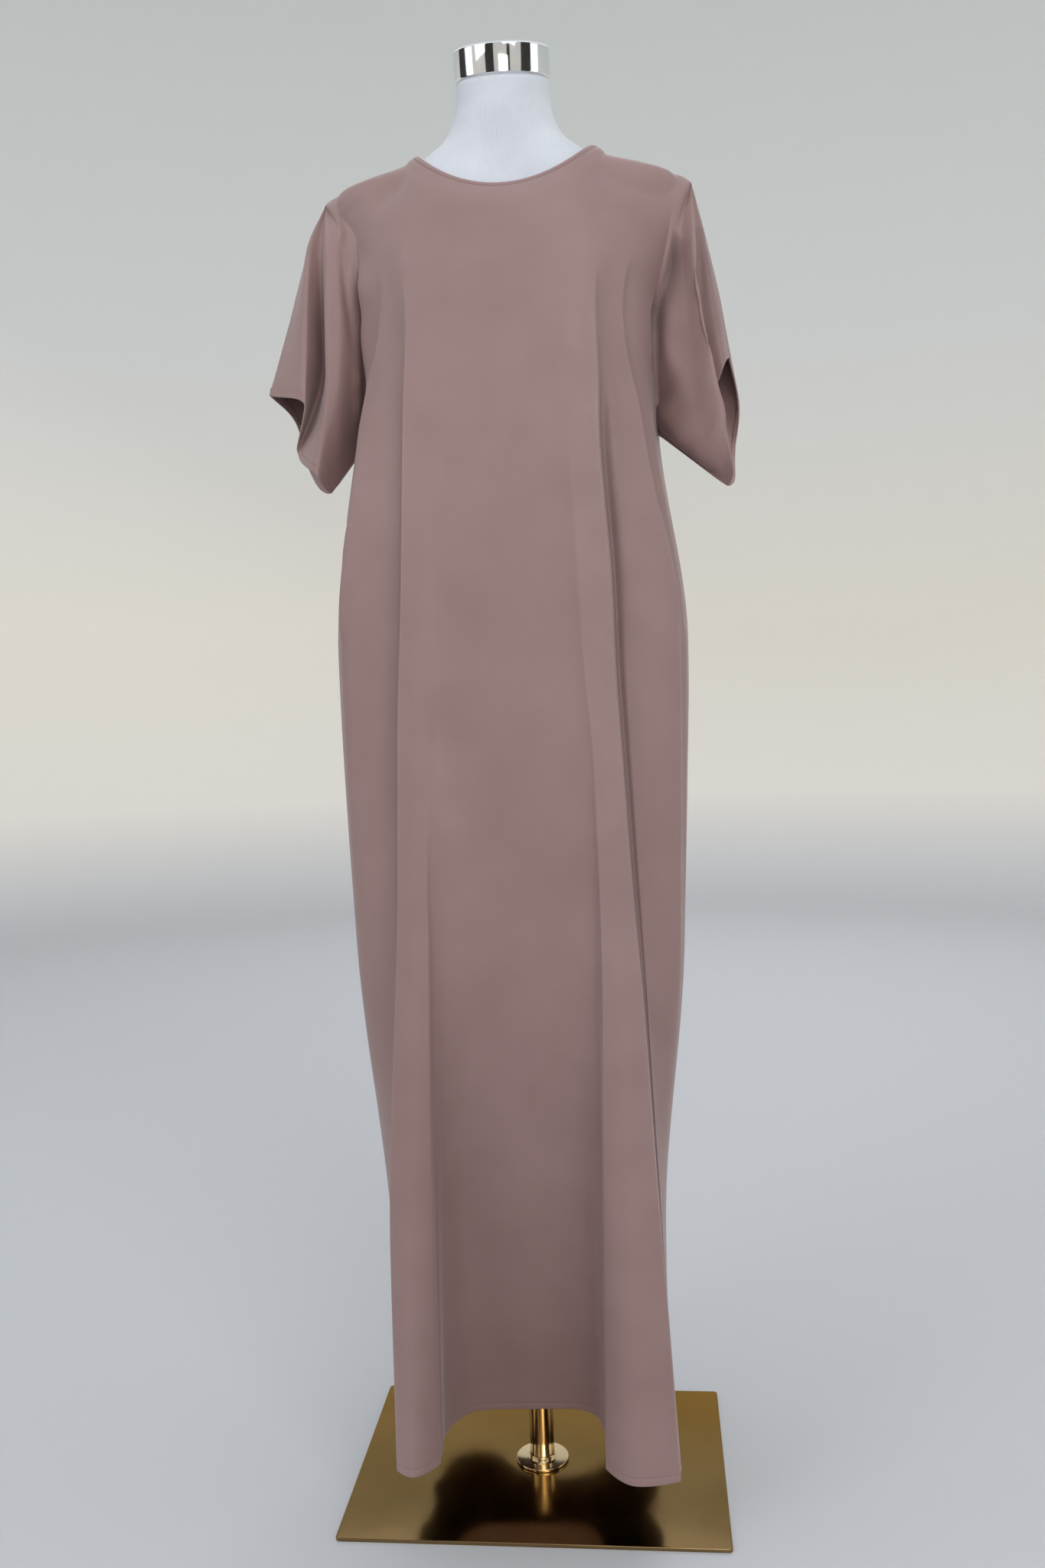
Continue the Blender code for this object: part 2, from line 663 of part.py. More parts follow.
def binding_rings(surface, edge):
    """Sections of the binding, set on the panels' edge and standing up along the cloth."""
    normals, _ = surface.normals()
    lows = [surface.points[top] for top, _ in edge]
    outs = evened([normals[top] for top, _ in edge], BINDING_EVENING)
    made = []
    for k, (top, below) in enumerate(edge):
        ahead = lows[(k + 1) % len(lows)] - lows[k - 1]
        ahead /= np.linalg.norm(ahead)
        out = outs[k] - ahead * outs[k].dot(ahead)
        out /= np.linalg.norm(out)
        up = np.cross(out, ahead)
        up *= math.copysign(1.0, up.dot(surface.points[top] - surface.points[below]))
        half = BINDING_THICKNESS / 2
        middle = lows[k] - out * WALL / 2
        ring = []
        for share, side in BINDING_SECTION:
            ring.append(tuple(middle + up * (BINDING_GAP + BINDING_WIDTH * share) + out * half * side))
        made.append(ring)
    return made


def plate_rings():
    corners = []
    half_x = PLATE_WIDTH / 2 - PLATE_CORNER
    half_y = PLATE_DEPTH / 2 - PLATE_CORNER
    for quarter, (sx, sy) in enumerate(((1, 1), (-1, 1), (-1, -1), (1, -1))):
        for k in range(5):
            angle = math.pi / 2 * (quarter + k / 4)
            corners.append((sx * half_x, sy * half_y, math.cos(angle), math.sin(angle)))
    rings = []
    for inset, z in (
        (PLATE_EDGE, 0.0),
        (0.0, PLATE_EDGE),
        (0.0, PLATE_THICKNESS - PLATE_EDGE),
        (PLATE_EDGE, PLATE_THICKNESS),
    ):
        radius = PLATE_CORNER - inset
        rings.append([(cx + radius * c, cy + radius * s, z) for cx, cy, c, s in corners])
    return rings


CREPE = material("crepe", (0.29, 0.20, 0.20), 0.62, 0.0)
COVER = material("cover", (0.66, 0.70, 0.78), 0.75, 0.0)
CHROME = material("chrome", (0.80, 0.81, 0.83), 0.10, 1.0)
GOLD = material("gold", (0.72, 0.53, 0.26), 0.20, 1.0)
BRONZE_GOLD = material("bronze_gold", (0.42, 0.32, 0.20), 0.30, 1.0)

# The dress
dress = Surface()
front_rows = panel_rows(True)
back_rows = panel_rows(False)
dress.add_rows("front", front_rows)
dress.add_rows("back", back_rows)
neckline = neck_edge(dress, front_rows, True) + neck_edge(dress, back_rows, False)
panel_solid(dress, "front", CREPE)
panel_solid(dress, "back", CREPE)
ring_solid("neck_binding", binding_rings(dress, neckline), CREPE, closed=True)

# The stand
ring_solid("dress_form", form_rings(), COVER)
ring_solid("neck_cap", cap_rings(), CHROME)
ring_solid("base_plate", plate_rings(), BRONZE_GOLD, smooth=False)
FLANGE_FROM = PLATE_THICKNESS + SEAT_GAP
FLANGE_TO = FLANGE_FROM + FLANGE_HEIGHT
ring_solid(
    "base_flange",
    round_rings(
        (
            (FLANGE_RADIUS, FLANGE_FROM),
            (FLANGE_RADIUS, FLANGE_TO - 0.0008),
            (FLANGE_RADIUS - 0.0008, FLANGE_TO),
            (COLLAR_RADIUS, FLANGE_TO),
            (COLLAR_RADIUS, FLANGE_TO + COLLAR_HEIGHT - 0.0008),
            (COLLAR_RADIUS - 0.0008, FLANGE_TO + COLLAR_HEIGHT),
        ),
        ROUND_SIDES,
    ),
    GOLD,
)
POLE_FROM = FLANGE_TO + COLLAR_HEIGHT + SEAT_GAP
POLE_TO = FORM_SECTIONS[0][0] - SEAT_GAP
ring_solid(
    "pole",
    round_rings(
        (
            (POLE_RADIUS, POLE_FROM),
            (POLE_RADIUS, POLE_TO - POLE_HEAD_HEIGHT - POLE_NECK_DROP),
            (POLE_RADIUS + 0.0030, POLE_TO - POLE_HEAD_HEIGHT),
            (POLE_HEAD_RADIUS, POLE_TO - POLE_HEAD_HEIGHT),
            (POLE_HEAD_RADIUS, POLE_TO),
        ),
        ROUND_SIDES,
    ),
    GOLD,
)
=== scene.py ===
import math

import bmesh
import bpy
import numpy as np
from mathutils import Matrix, Vector


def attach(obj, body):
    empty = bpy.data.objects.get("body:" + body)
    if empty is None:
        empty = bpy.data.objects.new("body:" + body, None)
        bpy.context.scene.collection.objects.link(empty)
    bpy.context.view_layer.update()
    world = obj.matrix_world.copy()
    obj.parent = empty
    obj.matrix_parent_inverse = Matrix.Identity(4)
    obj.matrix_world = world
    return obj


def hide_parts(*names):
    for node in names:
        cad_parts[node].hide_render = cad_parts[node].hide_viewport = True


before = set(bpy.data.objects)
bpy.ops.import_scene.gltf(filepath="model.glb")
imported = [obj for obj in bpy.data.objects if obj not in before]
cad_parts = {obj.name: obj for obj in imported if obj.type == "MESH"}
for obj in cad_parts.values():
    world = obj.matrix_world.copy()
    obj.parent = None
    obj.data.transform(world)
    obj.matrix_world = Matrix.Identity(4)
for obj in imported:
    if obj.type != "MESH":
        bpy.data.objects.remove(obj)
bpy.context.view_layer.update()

# Cloth: the wall that shows, how many fine steps one step of the solid gets, and the fine rows' pitch
CLOTH_WALL = 0.0008
FINE = 6
SKIRT_PITCH = 0.011
YOKE_PITCH = 0.007
SEAM_CROWDING = 1.7
# Columns crowd beside a sharp fold, coming in over this height under the chest
FOLD_CROWDING = 0.6
FOLD_CROWDING_OVER = 0.08
# Hems: height of the stitch line, rows of the grid up from the edge, and the turned-up layer's extra share of wall
HEM_DEPTH = 0.0075
HEM_ROWS = (0.0, 0.0009, 0.0028, 0.0052, 0.0064, 0.0070, 0.0075, 0.0080, 0.0086, 0.0098, 0.0125, 0.0170)
HEM_LAYER = 1.2
HEM_LAYER_PAST = 0.0006
HEM_LAYER_STEP = 0.0008
# Fine troughs along the hems' stitches and the seams: depth and width, and how near a seam creases fade out
HEM_LINE = (0.00035, 0.0009)
SEAM_LINE = (0.0006, 0.0016)
SEAM_CALM = 0.012
# Creases: how far one reaches in widths, fine steps for each given one, how softly its two widths meet, and how its
# depth wavers along it: by what share, how fast, and how much each crease's start moves the waves
CREASE_REACH = 3.2
CREASE_STEPS = 6
CREASE_BLEND = 0.6
CREASE_WAVER = 0.14
CREASE_WAVES = 17
CREASE_SHIFT = 9
# Further than any place on the cloth is from another
FAR = 9.0

# Heights of the sections that the folds are given at
HEM = 0.080
KNEE = 0.300
THIGH = 0.600
HIP = 0.900
ARMPIT = 1.120
BUST = 1.220
CHEST = 1.320
TOP = 1.395
SKIRT_HEIGHTS = (HEM, KNEE, THIGH, HIP, ARMPIT, BUST, CHEST)
SLEEVE_HEIGHTS = (ARMPIT, BUST, CHEST)
SIDE_SEAM_LEVELS = 5
YOKE_LEVELS = (CHEST, 1.345, 1.364, 1.377, 1.3855, 1.3910, TOP)
SLEEVE_LEVELS = (CHEST, 1.331, 1.342, 1.354, 1.366, 1.379, TOP)
UNDERARM_STRAIGHT_TO = 1.147

# Fold lines of the front, from the left side seam to the right one, with x and y at each height
#  line            hem             knee            thigh           hip             armpit          bust            chest
FRONT_LINES = (
    ("side_left", -.132, .004, -.152, .003, -.179, .004, -.186, .006, -.157, -.005, -.150, -.030, -.152, -.040),
    ("flank_left", -.139, -.055, -.148, -.062, -.166, -.090, -.171, -.096, -.146, -.088, -.126, -.080, -.130, -.064),
    ("dip_left", -.131, -.118, -.131, -.120, -.127, -.122, -.117, -.125, -.108, -.119, -.102, -.107, -.112, -.078),
    ("crest_left", -.134, -.150, -.1335, -.147, -.1205, -.139, -.1065, -.140,
     -.0955, -.135, -.090, -.123, -.096, -.087),
    ("lobe_left", -.114, -.167, -.112, -.163, -.103, -.152, -.092, -.148, -.081, -.141, -.076, -.128, -.080, -.094),
    ("fall_left", -.091, -.140, -.088, -.148, -.082, -.149, -.070, -.150, -.062, -.143, -.058, -.132, -.060, -.100),
    ("wall_left", -.093, -.090, -.084, -.115, -.068, -.141, -.056, -.150, -.050, -.143, -.045, -.134, -.044, -.103),
    ("panel_left", -.072, -.046, -.066, -.090, -.048, -.137, -.038, -.150, -.032, -.143, -.028, -.135, -.028, -.105),
    ("centre", -.008, -.036, -.004, -.084, .002, -.136, .002, -.150, .001, -.143, .000, -.136, .000, -.106),
    ("panel_right", .056, -.040, .058, -.088, .055, -.138, .045, -.151, .036, -.143, .030, -.135, .030, -.105),
    ("wall_right", .074, -.085, .074, -.112, .071, -.144, .061, -.152, .052, -.143, .046, -.134, .045, -.103),
    ("fall_right", .075, -.138, .079, -.144, .082, -.152, .076, -.153, .066, -.143, .060, -.132, .062, -.100),
    ("lobe_right", .104, -.172, .103, -.165, .103, -.156, .092, -.151, .082, -.141, .078, -.128, .082, -.094),
    ("crest_right", .151, -.156, .138, -.152, .1235, -.145, .1080, -.142, .0965, -.136, .094, -.123, .099, -.087),
    ("dip_right", .140, -.112, .136, -.120, .129, -.127, .118, -.129, .110, -.123, .107, -.107, .118, -.078),
    ("flank_right", .141, -.050, .142, -.068, .163, -.098, .168, -.102, .138, -.094, .126, -.084, .144, -.060),
    ("side_right", .122, .006, .138, .008, .166, .010, .179, .012, .152, .000, .151, -.036, .168, -.034),
)
FRONT_STEPS = (3, 3, 2, 3, 2, 2, 2, 3, 3, 2, 2, 2, 3, 2, 3, 3)
# Fine steps of a shoulder seam
SHOULDER = 8 * FINE

# Fold lines of the back, from the right side seam to the left one
BACK_LINES = (
    ("side_right", .122, .006, .138, .008, .166, .010, .179, .012, .152, .000, .156, .030, .168, .036),
    ("flank_right", .134, .060, .143, .060, .170, .062, .176, .062, .152, .048, .148, .054, .152, .058),
    ("ridge_right", .118, .136, .124, .132, .128, .124, .128, .114, .116, .092, .114, .088, .116, .084),
    ("blade_right", .082, .146, .088, .142, .092, .136, .086, .132, .076, .110, .074, .104, .076, .098),
    ("dip_right", .048, .098, .050, .108, .050, .124, .046, .134, .040, .118, .040, .108, .040, .103),
    ("centre", .002, .078, .002, .096, .001, .120, .000, .134, .000, .119, .000, .109, .000, .104),
    ("dip_left", -.044, .102, -.048, .110, -.050, .124, -.046, .134, -.040, .118, -.040, .108, -.040, .103),
    ("blade_left", -.086, .150, -.090, .144, -.092, .136, -.086, .132, -.076, .110, -.074, .104, -.076, .098),
    ("ridge_left", -.124, .130, -.130, .128, -.134, .122, -.132, .114, -.118, .092, -.114, .088, -.112, .084),
    ("flank_left", -.143, .058, -.154, .058, -.178, .060, -.182, .060, -.156, .046, -.148, .054, -.148, .058),
    ("side_left", -.132, .004, -.152, .003, -.179, .004, -.186, .006, -.157, -.005, -.154, .028, -.158, .036),
)
BACK_STEPS = (4, 4, 3, 2, 3, 3, 2, 3, 4, 4)

# Sharp folds: how round an edge is, how far a hollow tucks in behind its edge, from what depth on, and the painted
# shade and highlight on the cloth: the hollow depth whose painted shade is darkest, where the painted shade starts, how
# far it reaches, and how strong and wide the painted highlight along the edge is
FOLD_RADIUS = 0.0010
TUCK = 0.35
TUCK_FROM = 0.0040
SHADE_FROM = 0.0120
SHADE_START = 0.0012
SHADE_REACH = 0.0075
LIP_PAINTED_HIGHLIGHT = 0.34
LIP_HIGHLIGHT_WIDTH = 0.0018
# Each fold: the line that a column is led along, the side that its hollow is on, the widths of its near side and its
# hollow, then from the top down: height, the line really followed, how far the edge stands out, how deep the hollow is
FRONT_PLEATS = (
    # left outer fold, below the armpit
    (
        1, -1, 0.016, 0.0060,
        (1.318, 1.00, .0, .0), (1.290, 1.30, .0, .0), (1.250, 1.34, .0016, .0010), (1.214, 1.11, .0030, .0020),
        (1.172, 0.95, .0040, .0040), (1.123, 1.05, .0040, .0045), (1.040, 1.04, .0034, .0040),
        (.950, 1.00, .0018, .0012), (.800, 1.00, .0010, .0004), (.600, 1.00, .0, .0), (.080, 1.00, .0, .0),
    ),
    # left inner fold
    (
        3, -1, 0.013, 0.0075,
        (1.318, 3.00, .0, .0), (1.256, 3.00, .0, .0), (1.230, 3.06, .0018, .0016), (1.170, 3.14, .0024, .0044),
        (1.098, 3.22, .0030, .0090), (.955, 3.33, .0036, .0130), (.823, 3.22, .0036, .0140),
        (.669, 3.33, .0036, .0140), (.450, 3.20, .0036, .0130), (.250, 3.12, .0034, .0100),
        (.080, 3.11, .0030, .0070),
    ),
    # inner edge of the left lobe
    (
        5, 1, 0.012, 0.0060,
        (1.318, 5.00, .0, .0), (.900, 4.90, .0, .0), (.780, 4.85, .0, .0), (.669, 4.85, .0010, .0014),
        (.603, 4.93, .0014, .0022), (.449, 4.92, .0020, .0030), (.284, 5.00, .0030, .0040),
        (.080, 5.02, .0040, .0044),
    ),
    # edge of the middle stretch on the right
    (
        11, -1, 0.014, 0.0130,
        (1.318, 11.0, .0, .0), (1.120, 10.92, .0, .0), (1.010, 10.92, .0012, .0010), (.911, 10.92, .0016, .0016),
        (.779, 11.20, .0020, .0024), (.592, 11.20, .0026, .0034), (.405, 11.08, .0028, .0036),
        (.174, 11.08, .0030, .0030), (.080, 11.08, .0030, .0030),
    ),
    # right inner fold
    (
        13, 1, 0.013, 0.0048,
        (1.318, 13.0, .0, .0), (1.262, 13.0, .0, .0), (1.230, 13.0, .0020, .0034), (1.165, 13.0, .0034, .0080),
        (1.087, 12.80, .0040, .0140), (.977, 12.90, .0044, .0180), (.856, 12.70, .0044, .0180),
        (.680, 12.72, .0044, .0180), (.537, 12.88, .0044, .0180), (.394, 12.94, .0044, .0170),
        (.240, 13.0, .0040, .0130), (.080, 12.94, .0040, .0100),
    ),
    # right outer fold, from the bust to the pocket
    (
        15, 1, 0.020, 0.0060,
        (1.318, 15.0, .0, .0), (1.280, 14.70, .0, .0), (1.240, 14.64, .0024, .0050), (1.179, 14.72, .0040, .0076),
        (1.120, 14.89, .0050, .0090), (1.032, 14.90, .0050, .0084), (.977, 14.95, .0044, .0066),
        (.922, 15.00, .0036, .0044), (.740, 15.00, .0030, .0036), (.560, 15.0, .0010, .0010), (.460, 15.0, .0, .0),
        (.080, 15.0, .0, .0),
    ),
)
# The back has no sharp folds
BACK_PLEATS = ()

# Fold lines of the sleeves, from the overarm seam to the underarm, with x, y and z at three levels.
# Each level is one row of the sleeve: the lowest is the sleeve's hem, and its last point is the underarm corner.
#  line             hem                    bust                   chest
LEFT_SLEEVE_FRONT = (
    ("overarm", -.260, -.004, 1.179, -.241, -.002, 1.238, -.216, -.001, 1.318),
    ("lobe", -.210, -.050, 1.156, -.209, -.042, 1.224, -.205, -.030, 1.318),
    ("valley", -.229, -.012, 1.114, -.197, -.014, 1.205, -.194, -.023, 1.310),
    ("crest", -.199, -.058, 1.083, -.183, -.058, 1.188, -.182, -.046, 1.306),
    ("underarm", -.188, -.033, 1.069, -.173, -.058, 1.182, -.169, -.044, 1.312),
)
LEFT_SLEEVE_BACK = (
    LEFT_SLEEVE_FRONT[0],
    ("lobe", -.243, .034, 1.158, -.229, .034, 1.222, -.208, .034, 1.318),
    ("crest", -.228, .032, 1.105, -.200, .050, 1.196, -.188, .052, 1.310),
    ("underarm", -.188, -.033, 1.069, -.180, .036, 1.182, -.173, .043, 1.312),
)
RIGHT_SLEEVE_FRONT = (
    ("overarm", .229, .010, 1.198, .222, .008, 1.250, .207, .003, 1.318),
    ("lobe", .222, -.016, 1.184, .214, -.012, 1.238, .203, -.016, 1.314),
    ("valley", .206, -.012, 1.140, .198, -.012, 1.215, .196, -.018, 1.310),
    ("crest", .226, -.062, 1.072, .206, -.058, 1.186, .192, -.046, 1.300),
    ("underarm", .219, -.050, 1.056, .184, -.047, 1.176, .180, -.035, 1.304),
)
RIGHT_SLEEVE_BACK = (
    RIGHT_SLEEVE_FRONT[0],
    ("lobe", .240, .032, 1.150, .225, .036, 1.222, .204, .034, 1.314),
    ("crest", .234, .036, 1.104, .200, .052, 1.190, .190, .052, 1.306),
    ("underarm", .219, -.050, 1.056, .186, .036, 1.176, .179, .043, 1.304),
)
SLEEVE_FRONT_STEPS = (3, 3, 3, 2, 2)
SLEEVE_BACK_STEPS = (3, 4, 3, 2)

# Shoulder seam: share of the way from its outer tip to the neck, and height
SHOULDER_TIP = (0.1920, 0.002)
SHOULDER_LINE = ((0.00, 1.3755), (0.08, 1.3810), (0.33, 1.3872), (0.70, 1.3960), (1.00, 1.4075))

# Neckline of the cut panels: an egg-shaped loop, low in front and a little nearer the right shoulder
NECK_MIDDLE = 0.0025
NECK_HALF_WIDTH = 0.0965
NECK_FRONT = 0.0850
NECK_BACK = 0.0690
NECK_TOP = 1.4075
NECK_FRONT_DROP = 0.0560
NECK_BACK_DROP = 0.0090
NECK_ROUND = 0.60
NECK_FALL = 1.6
NECK_SAMPLES = 400
NECK_STEP = 0.002

# How steeply the cloth runs up into its upper edge, and how soon it turns that way
RISE_AT_SHOULDER = math.radians(14.0)
RISE_AT_NECK_SIDE = math.radians(14.0)
RISE_AT_FRONT = math.radians(50.0)
RISE_AT_BACK = math.radians(62.0)
EDGE_REACH = 0.75
EDGE_EVENING = 12
# The yoke's rows between chest and edge are evened across, fading in and out over these shares of the way
YOKE_EVENING = 120
YOKE_FADE = (0.15, 0.30)
# Points of two panels are one at a seam where they agree to a part of a metre
MATCH_PER_METRE = 5e4

# Dress form: height, half width, front, back and squareness of each section
FORM_SECTIONS = (
    (.7450, .1420, .0790, .0950, 2.2),
    (.7520, .1490, .0850, .1010, 2.2),
    (.8000, .1580, .0920, .1120, 2.2),
    (.8800, .1620, .0980, .1180, 2.2),
    (.9600, .1400, .0880, .0980, 2.2),
    (1.0300, .1180, .0820, .0760, 2.2),
    (1.1000, .1240, .0980, .0760, 2.2),
    (1.1600, .1360, .1150, .0820, 2.2),
    (1.2000, .1410, .1180, .0860, 2.2),
    (1.2600, .1460, .1040, .0900, 2.2),
    (1.3100, .1560, .0880, .0900, 2.2),
    (1.3500, .1735, .0715, .0830, 2.2),
    (1.3660, .1765, .0650, .0755, 2.2),
    (1.3720, .1755, .0620, .0715, 2.2),
    (1.3775, .1715, .0595, .0680, 2.2),
    (1.3835, .1550, .0570, .0642, 2.2),
    (1.3915, .1250, .0540, .0600, 2.1),
    (1.3985, .1050, .0515, .0570, 2.1),
    (1.4060, .0900, .0495, .0550, 2.1),
    (1.4150, .0775, .0487, .0530, 2.0),
    (1.4230, .0665, .0485, .0515, 2.0),
    (1.4330, .0590, .0485, .0507, 2.0),
    (1.4470, .0530, .0485, .0495, 2.0),
    (1.4620, .0495, .0485, .0488, 2.0),
    (1.4870, .0485, .0485, .0485, 2.0),
)
FORM_TOP = FORM_SECTIONS[-1][0]
FORM_EASE = 0.0038
FORM_RISE = 0.0026


def smooth_step(value):
    value = np.clip(value, 0.0, 1.0)
    return value * value * (3 - 2 * value)


def bell(away, width):
    return np.exp(-((away / width) ** 2))


def unit(ways):
    return ways / np.linalg.norm(ways, axis=-1, keepdims=True)


def lengths_along(points):
    """The way along a row of points, from the first one."""
    return np.concatenate(([0.0], np.cumsum(np.linalg.norm(np.diff(points, axis=0), axis=1))))


def hermite(t, start, leave, end, arrive):
    """A smooth way from start to end, by the slopes that it leaves and arrives with."""
    return (
        (1 + 2 * t) * (1 - t) ** 2 * start
        + t * (1 - t) ** 2 * leave
        + t * t * (3 - 2 * t) * end
        + t * t * (t - 1) * arrive
    )


def track(knots, values, at):
    """Smooth lines through rows of values, which don't swing past them between two knots."""
    knots = np.asarray(knots, float)
    values = np.asarray(values, float).reshape(len(knots), -1)
    step = np.diff(knots)[:, None]
    rise = np.diff(values, axis=0) / step
    slope = np.empty_like(values)
    slope[0], slope[-1] = rise[0], rise[-1]
    before = 2 * step[1:] + step[:-1]
    after = step[1:] + 2 * step[:-1]
    same = rise[:-1] * rise[1:] > 0
    first = np.where(same, rise[:-1], 1.0)
    second = np.where(same, rise[1:], 1.0)
    slope[1:-1] = np.where(same, (before + after) / (before / first + after / second), 0.0)
    at = np.clip(np.atleast_1d(np.asarray(at, float)), knots[0], knots[-1])
    k = np.clip(np.searchsorted(knots, at, side="right") - 1, 0, len(step) - 1)
    t = ((at - knots[k]) / step[k, 0])[:, None]
    return hermite(t, values[k], step[k] * slope[k], values[k + 1], step[k] * slope[k + 1])


def from_table(rows, at, columns=slice(1, None)):
    """A table's columns at the heights or shares given. Its rows start with theirs and may run up or down."""
    rows = np.array(sorted(rows), float)
    return track(rows[:, 0], rows[:, columns], at)


def shares_of(steps, crowd_first=False, crowd_last=False):
    """For each stretch between two fold lines, the shares of the way that its fine steps end at."""
    made = [np.arange(1, count * FINE + 1) / (count * FINE) for count in steps]
    if crowd_first:
        made[0] = made[0] ** SEAM_CROWDING
    if crowd_last:
        made[-1] = 1 - (1 - made[-1]) ** SEAM_CROWDING
    return made


def counted(shares):
    """Places of the columns, counted in lines."""
    return np.concatenate([[0.0], *[k + part for k, part in enumerate(shares)]])


def curves_at(guides, places):
    """Points on smooth curves through guides[line][row], at places[row][column] counted in lines."""
    guides = np.asarray(guides, float)
    gaps = np.sqrt(np.maximum(np.linalg.norm(np.diff(guides, axis=0), axis=2), 1e-9))[..., None]
    runs = np.diff(guides, axis=0) / gaps
    slopes = np.empty_like(guides)
    slopes[0], slopes[-1] = runs[0], runs[-1]
    slopes[1:-1] = (runs[:-1] * gaps[1:] + runs[1:] * gaps[:-1]) / (gaps[1:] + gaps[:-1])
    row = np.arange(guides.shape[1])[:, None]
    k = np.clip(places.astype(int), 0, len(guides) - 2)
    t = (places - k)[..., None]
    gap = gaps[k, row]
    return hermite(t, guides[k, row], gap * slopes[k, row], guides[k + 1, row], gap * slopes[k + 1, row])


def curves_through(guides, shares):
    """Points on smooth curves through guides[line][row], at the shares given for each stretch between two lines."""
    return curves_at(guides, np.tile(counted(shares), (np.shape(guides)[1], 1)))


def drawn_along(even, pleats, heights):
    """Places of the columns, counted in lines, with one column led along each sharp fold and others crowded there."""
    places = np.tile(even, (len(heights), 1))
    crowd = 1 + FOLD_CROWDING * smooth_step((CHEST - heights) / FOLD_CROWDING_OVER)[:, None]
    for line, side, _, _, *rows in pleats:
        from_fold = places - line
        beside = (side * from_fold > 0) & (side * from_fold < 1)
        from_fold = np.where(beside, side * np.abs(from_fold) ** crowd, from_fold)
        led = from_table(rows, heights, 1) - line
        places = line + from_fold + led * smooth_step(1 - np.abs(from_fold))
    return places


def settled(points, front):
    """The points, moved out where they would lie in the dress form."""
    made = points.copy()
    facing = -1.0 if front else 1.0
    for drop in (0.0, FORM_RISE):
        sizes = from_table(FORM_SECTIONS, (points[..., 2] - drop).ravel())
        half, ahead, behind, power = sizes.T.reshape(4, *points.shape[:-1])
        reach = 1 - (np.abs(points[..., 0]) / (half + FORM_EASE)) ** power
        inside = (reach > 0) & (points[..., 2] <= FORM_SECTIONS[-1][0])
        least = ((ahead if front else behind) + FORM_EASE) * np.maximum(reach, 0.0) ** (1 / power)
        made[..., 1] = np.where(inside, facing * np.maximum(facing * made[..., 1], least), made[..., 1])
    return made


def shoulder_points(side, shares):
    """Points on the shoulder seam: share 0 at the outer tip, 1 at the neck."""
    shares = np.asarray(shares, float)
    tip = side * SHOULDER_TIP[0]
    neck = NECK_MIDDLE + side * NECK_HALF_WIDTH
    heights = from_table(SHOULDER_LINE, shares)[:, 0]
    return np.stack((tip + (neck - tip) * shares, SHOULDER_TIP[1] * (1 - shares), heights), axis=1)


def neck_points(turns):
    """Points on the neckline: turn 0 is centre front, a quarter turn is the right shoulder, half is centre back."""
    angle = 2 * np.pi * np.asarray(turns, float)
    ahead = np.cos(angle)
    depth = np.abs(ahead) ** NECK_ROUND
    fall = np.abs(ahead) ** NECK_FALL
    return np.stack(
        (
            NECK_MIDDLE + NECK_HALF_WIDTH * np.sin(angle),
            np.where(ahead > 0, -NECK_FRONT * depth, NECK_BACK * depth),
            NECK_TOP - np.where(ahead > 0, NECK_FRONT_DROP, NECK_BACK_DROP) * fall,
        ),
        axis=1,
    )


def even_turns(first, last, count):
    """Turns that part the neckline into even lengths."""
    fine = np.linspace(first, last, NECK_SAMPLES + 1)
    lengths = lengths_along(neck_points(fine))
    return np.interp(np.linspace(0.0, lengths[-1], count + 1), lengths, fine)


def neck_ways(turns, front):
    """The ways that the cloth runs up into the neckline."""
    ahead = neck_points(turns + NECK_STEP) - neck_points(turns - NECK_STEP)
    inward = unit(np.stack((-ahead[:, 1], ahead[:, 0]), axis=1))
    low = np.abs(np.cos(2 * np.pi * turns))
    rise = RISE_AT_NECK_SIDE + ((RISE_AT_FRONT if front else RISE_AT_BACK) - RISE_AT_NECK_SIDE) * low
    return np.stack((inward[:, 0] * np.cos(rise), inward[:, 1] * np.cos(rise), np.sin(rise)), axis=1)


def upper_edge(front, steps):
    """The panel's upper edge, from one shoulder tip along the neckline to the other, and the cloth's ways into it."""
    across = sum(steps) * FINE - 2 * SHOULDER
    first = -1 if front else 1
    over = np.array((0.0, -first * math.cos(RISE_AT_SHOULDER), math.sin(RISE_AT_SHOULDER)))
    turns = even_turns(-0.25 if front else 0.25, 0.25 if front else 0.75, across)
    shares = np.arange(SHOULDER + 1) / SHOULDER
    points = np.concatenate(
        (shoulder_points(first, shares), neck_points(turns[1:-1]), shoulder_points(-first, shares[::-1]))
    )
    ways = np.concatenate((np.tile(over, (SHOULDER, 1)), neck_ways(turns, front), np.tile(over, (SHOULDER, 1))))
    for _ in range(EDGE_EVENING * FINE * FINE):
        ways[1:-1] = ways[:-2] + 2 * ways[1:-1] + ways[2:]
        ways = unit(ways)
    return points, ways


def rows_up(low, high, pitch):
    """Heights of rows from a hem up: the hem's own close ones, then even ones as far as just under the high one."""
    start = low + HEM_ROWS[-1]
    count = round((high - start) / pitch)
    return np.concatenate((low + np.array(HEM_ROWS[:-1]), start + (high - start) * np.arange(count) / count))


def skirt_rows(lines, shares, heights, pleats):
    """The body's own rows at the heights given, and the places of their columns, counted in lines."""
    columns = drawn_along(counted(shares), pleats, heights)
    guides = []
    for line in lines:
        places = np.reshape(line[1:], (-1, 2))
        at = track(SKIRT_HEIGHTS, places, heights)
        if line in (lines[0], lines[-1]):
            below = track(SKIRT_HEIGHTS[:SIDE_SEAM_LEVELS], places[:SIDE_SEAM_LEVELS], heights)
            at = np.where(heights[:, None] <= ARMPIT, below, at)
        guides.append(np.column_stack((at, heights)))
    return curves_at(guides, columns), columns


def sleeve_rows(lines, levels, side):
    """The sleeve's fold lines at the levels given, drawn together towards the shoulder tip."""
    tip = shoulder_points(side, [0.0])
    return [
        track((*SLEEVE_HEIGHTS, TOP), np.vstack((np.reshape(line[1:], (-1, 3)), tip)), levels) for line in lines
    ]


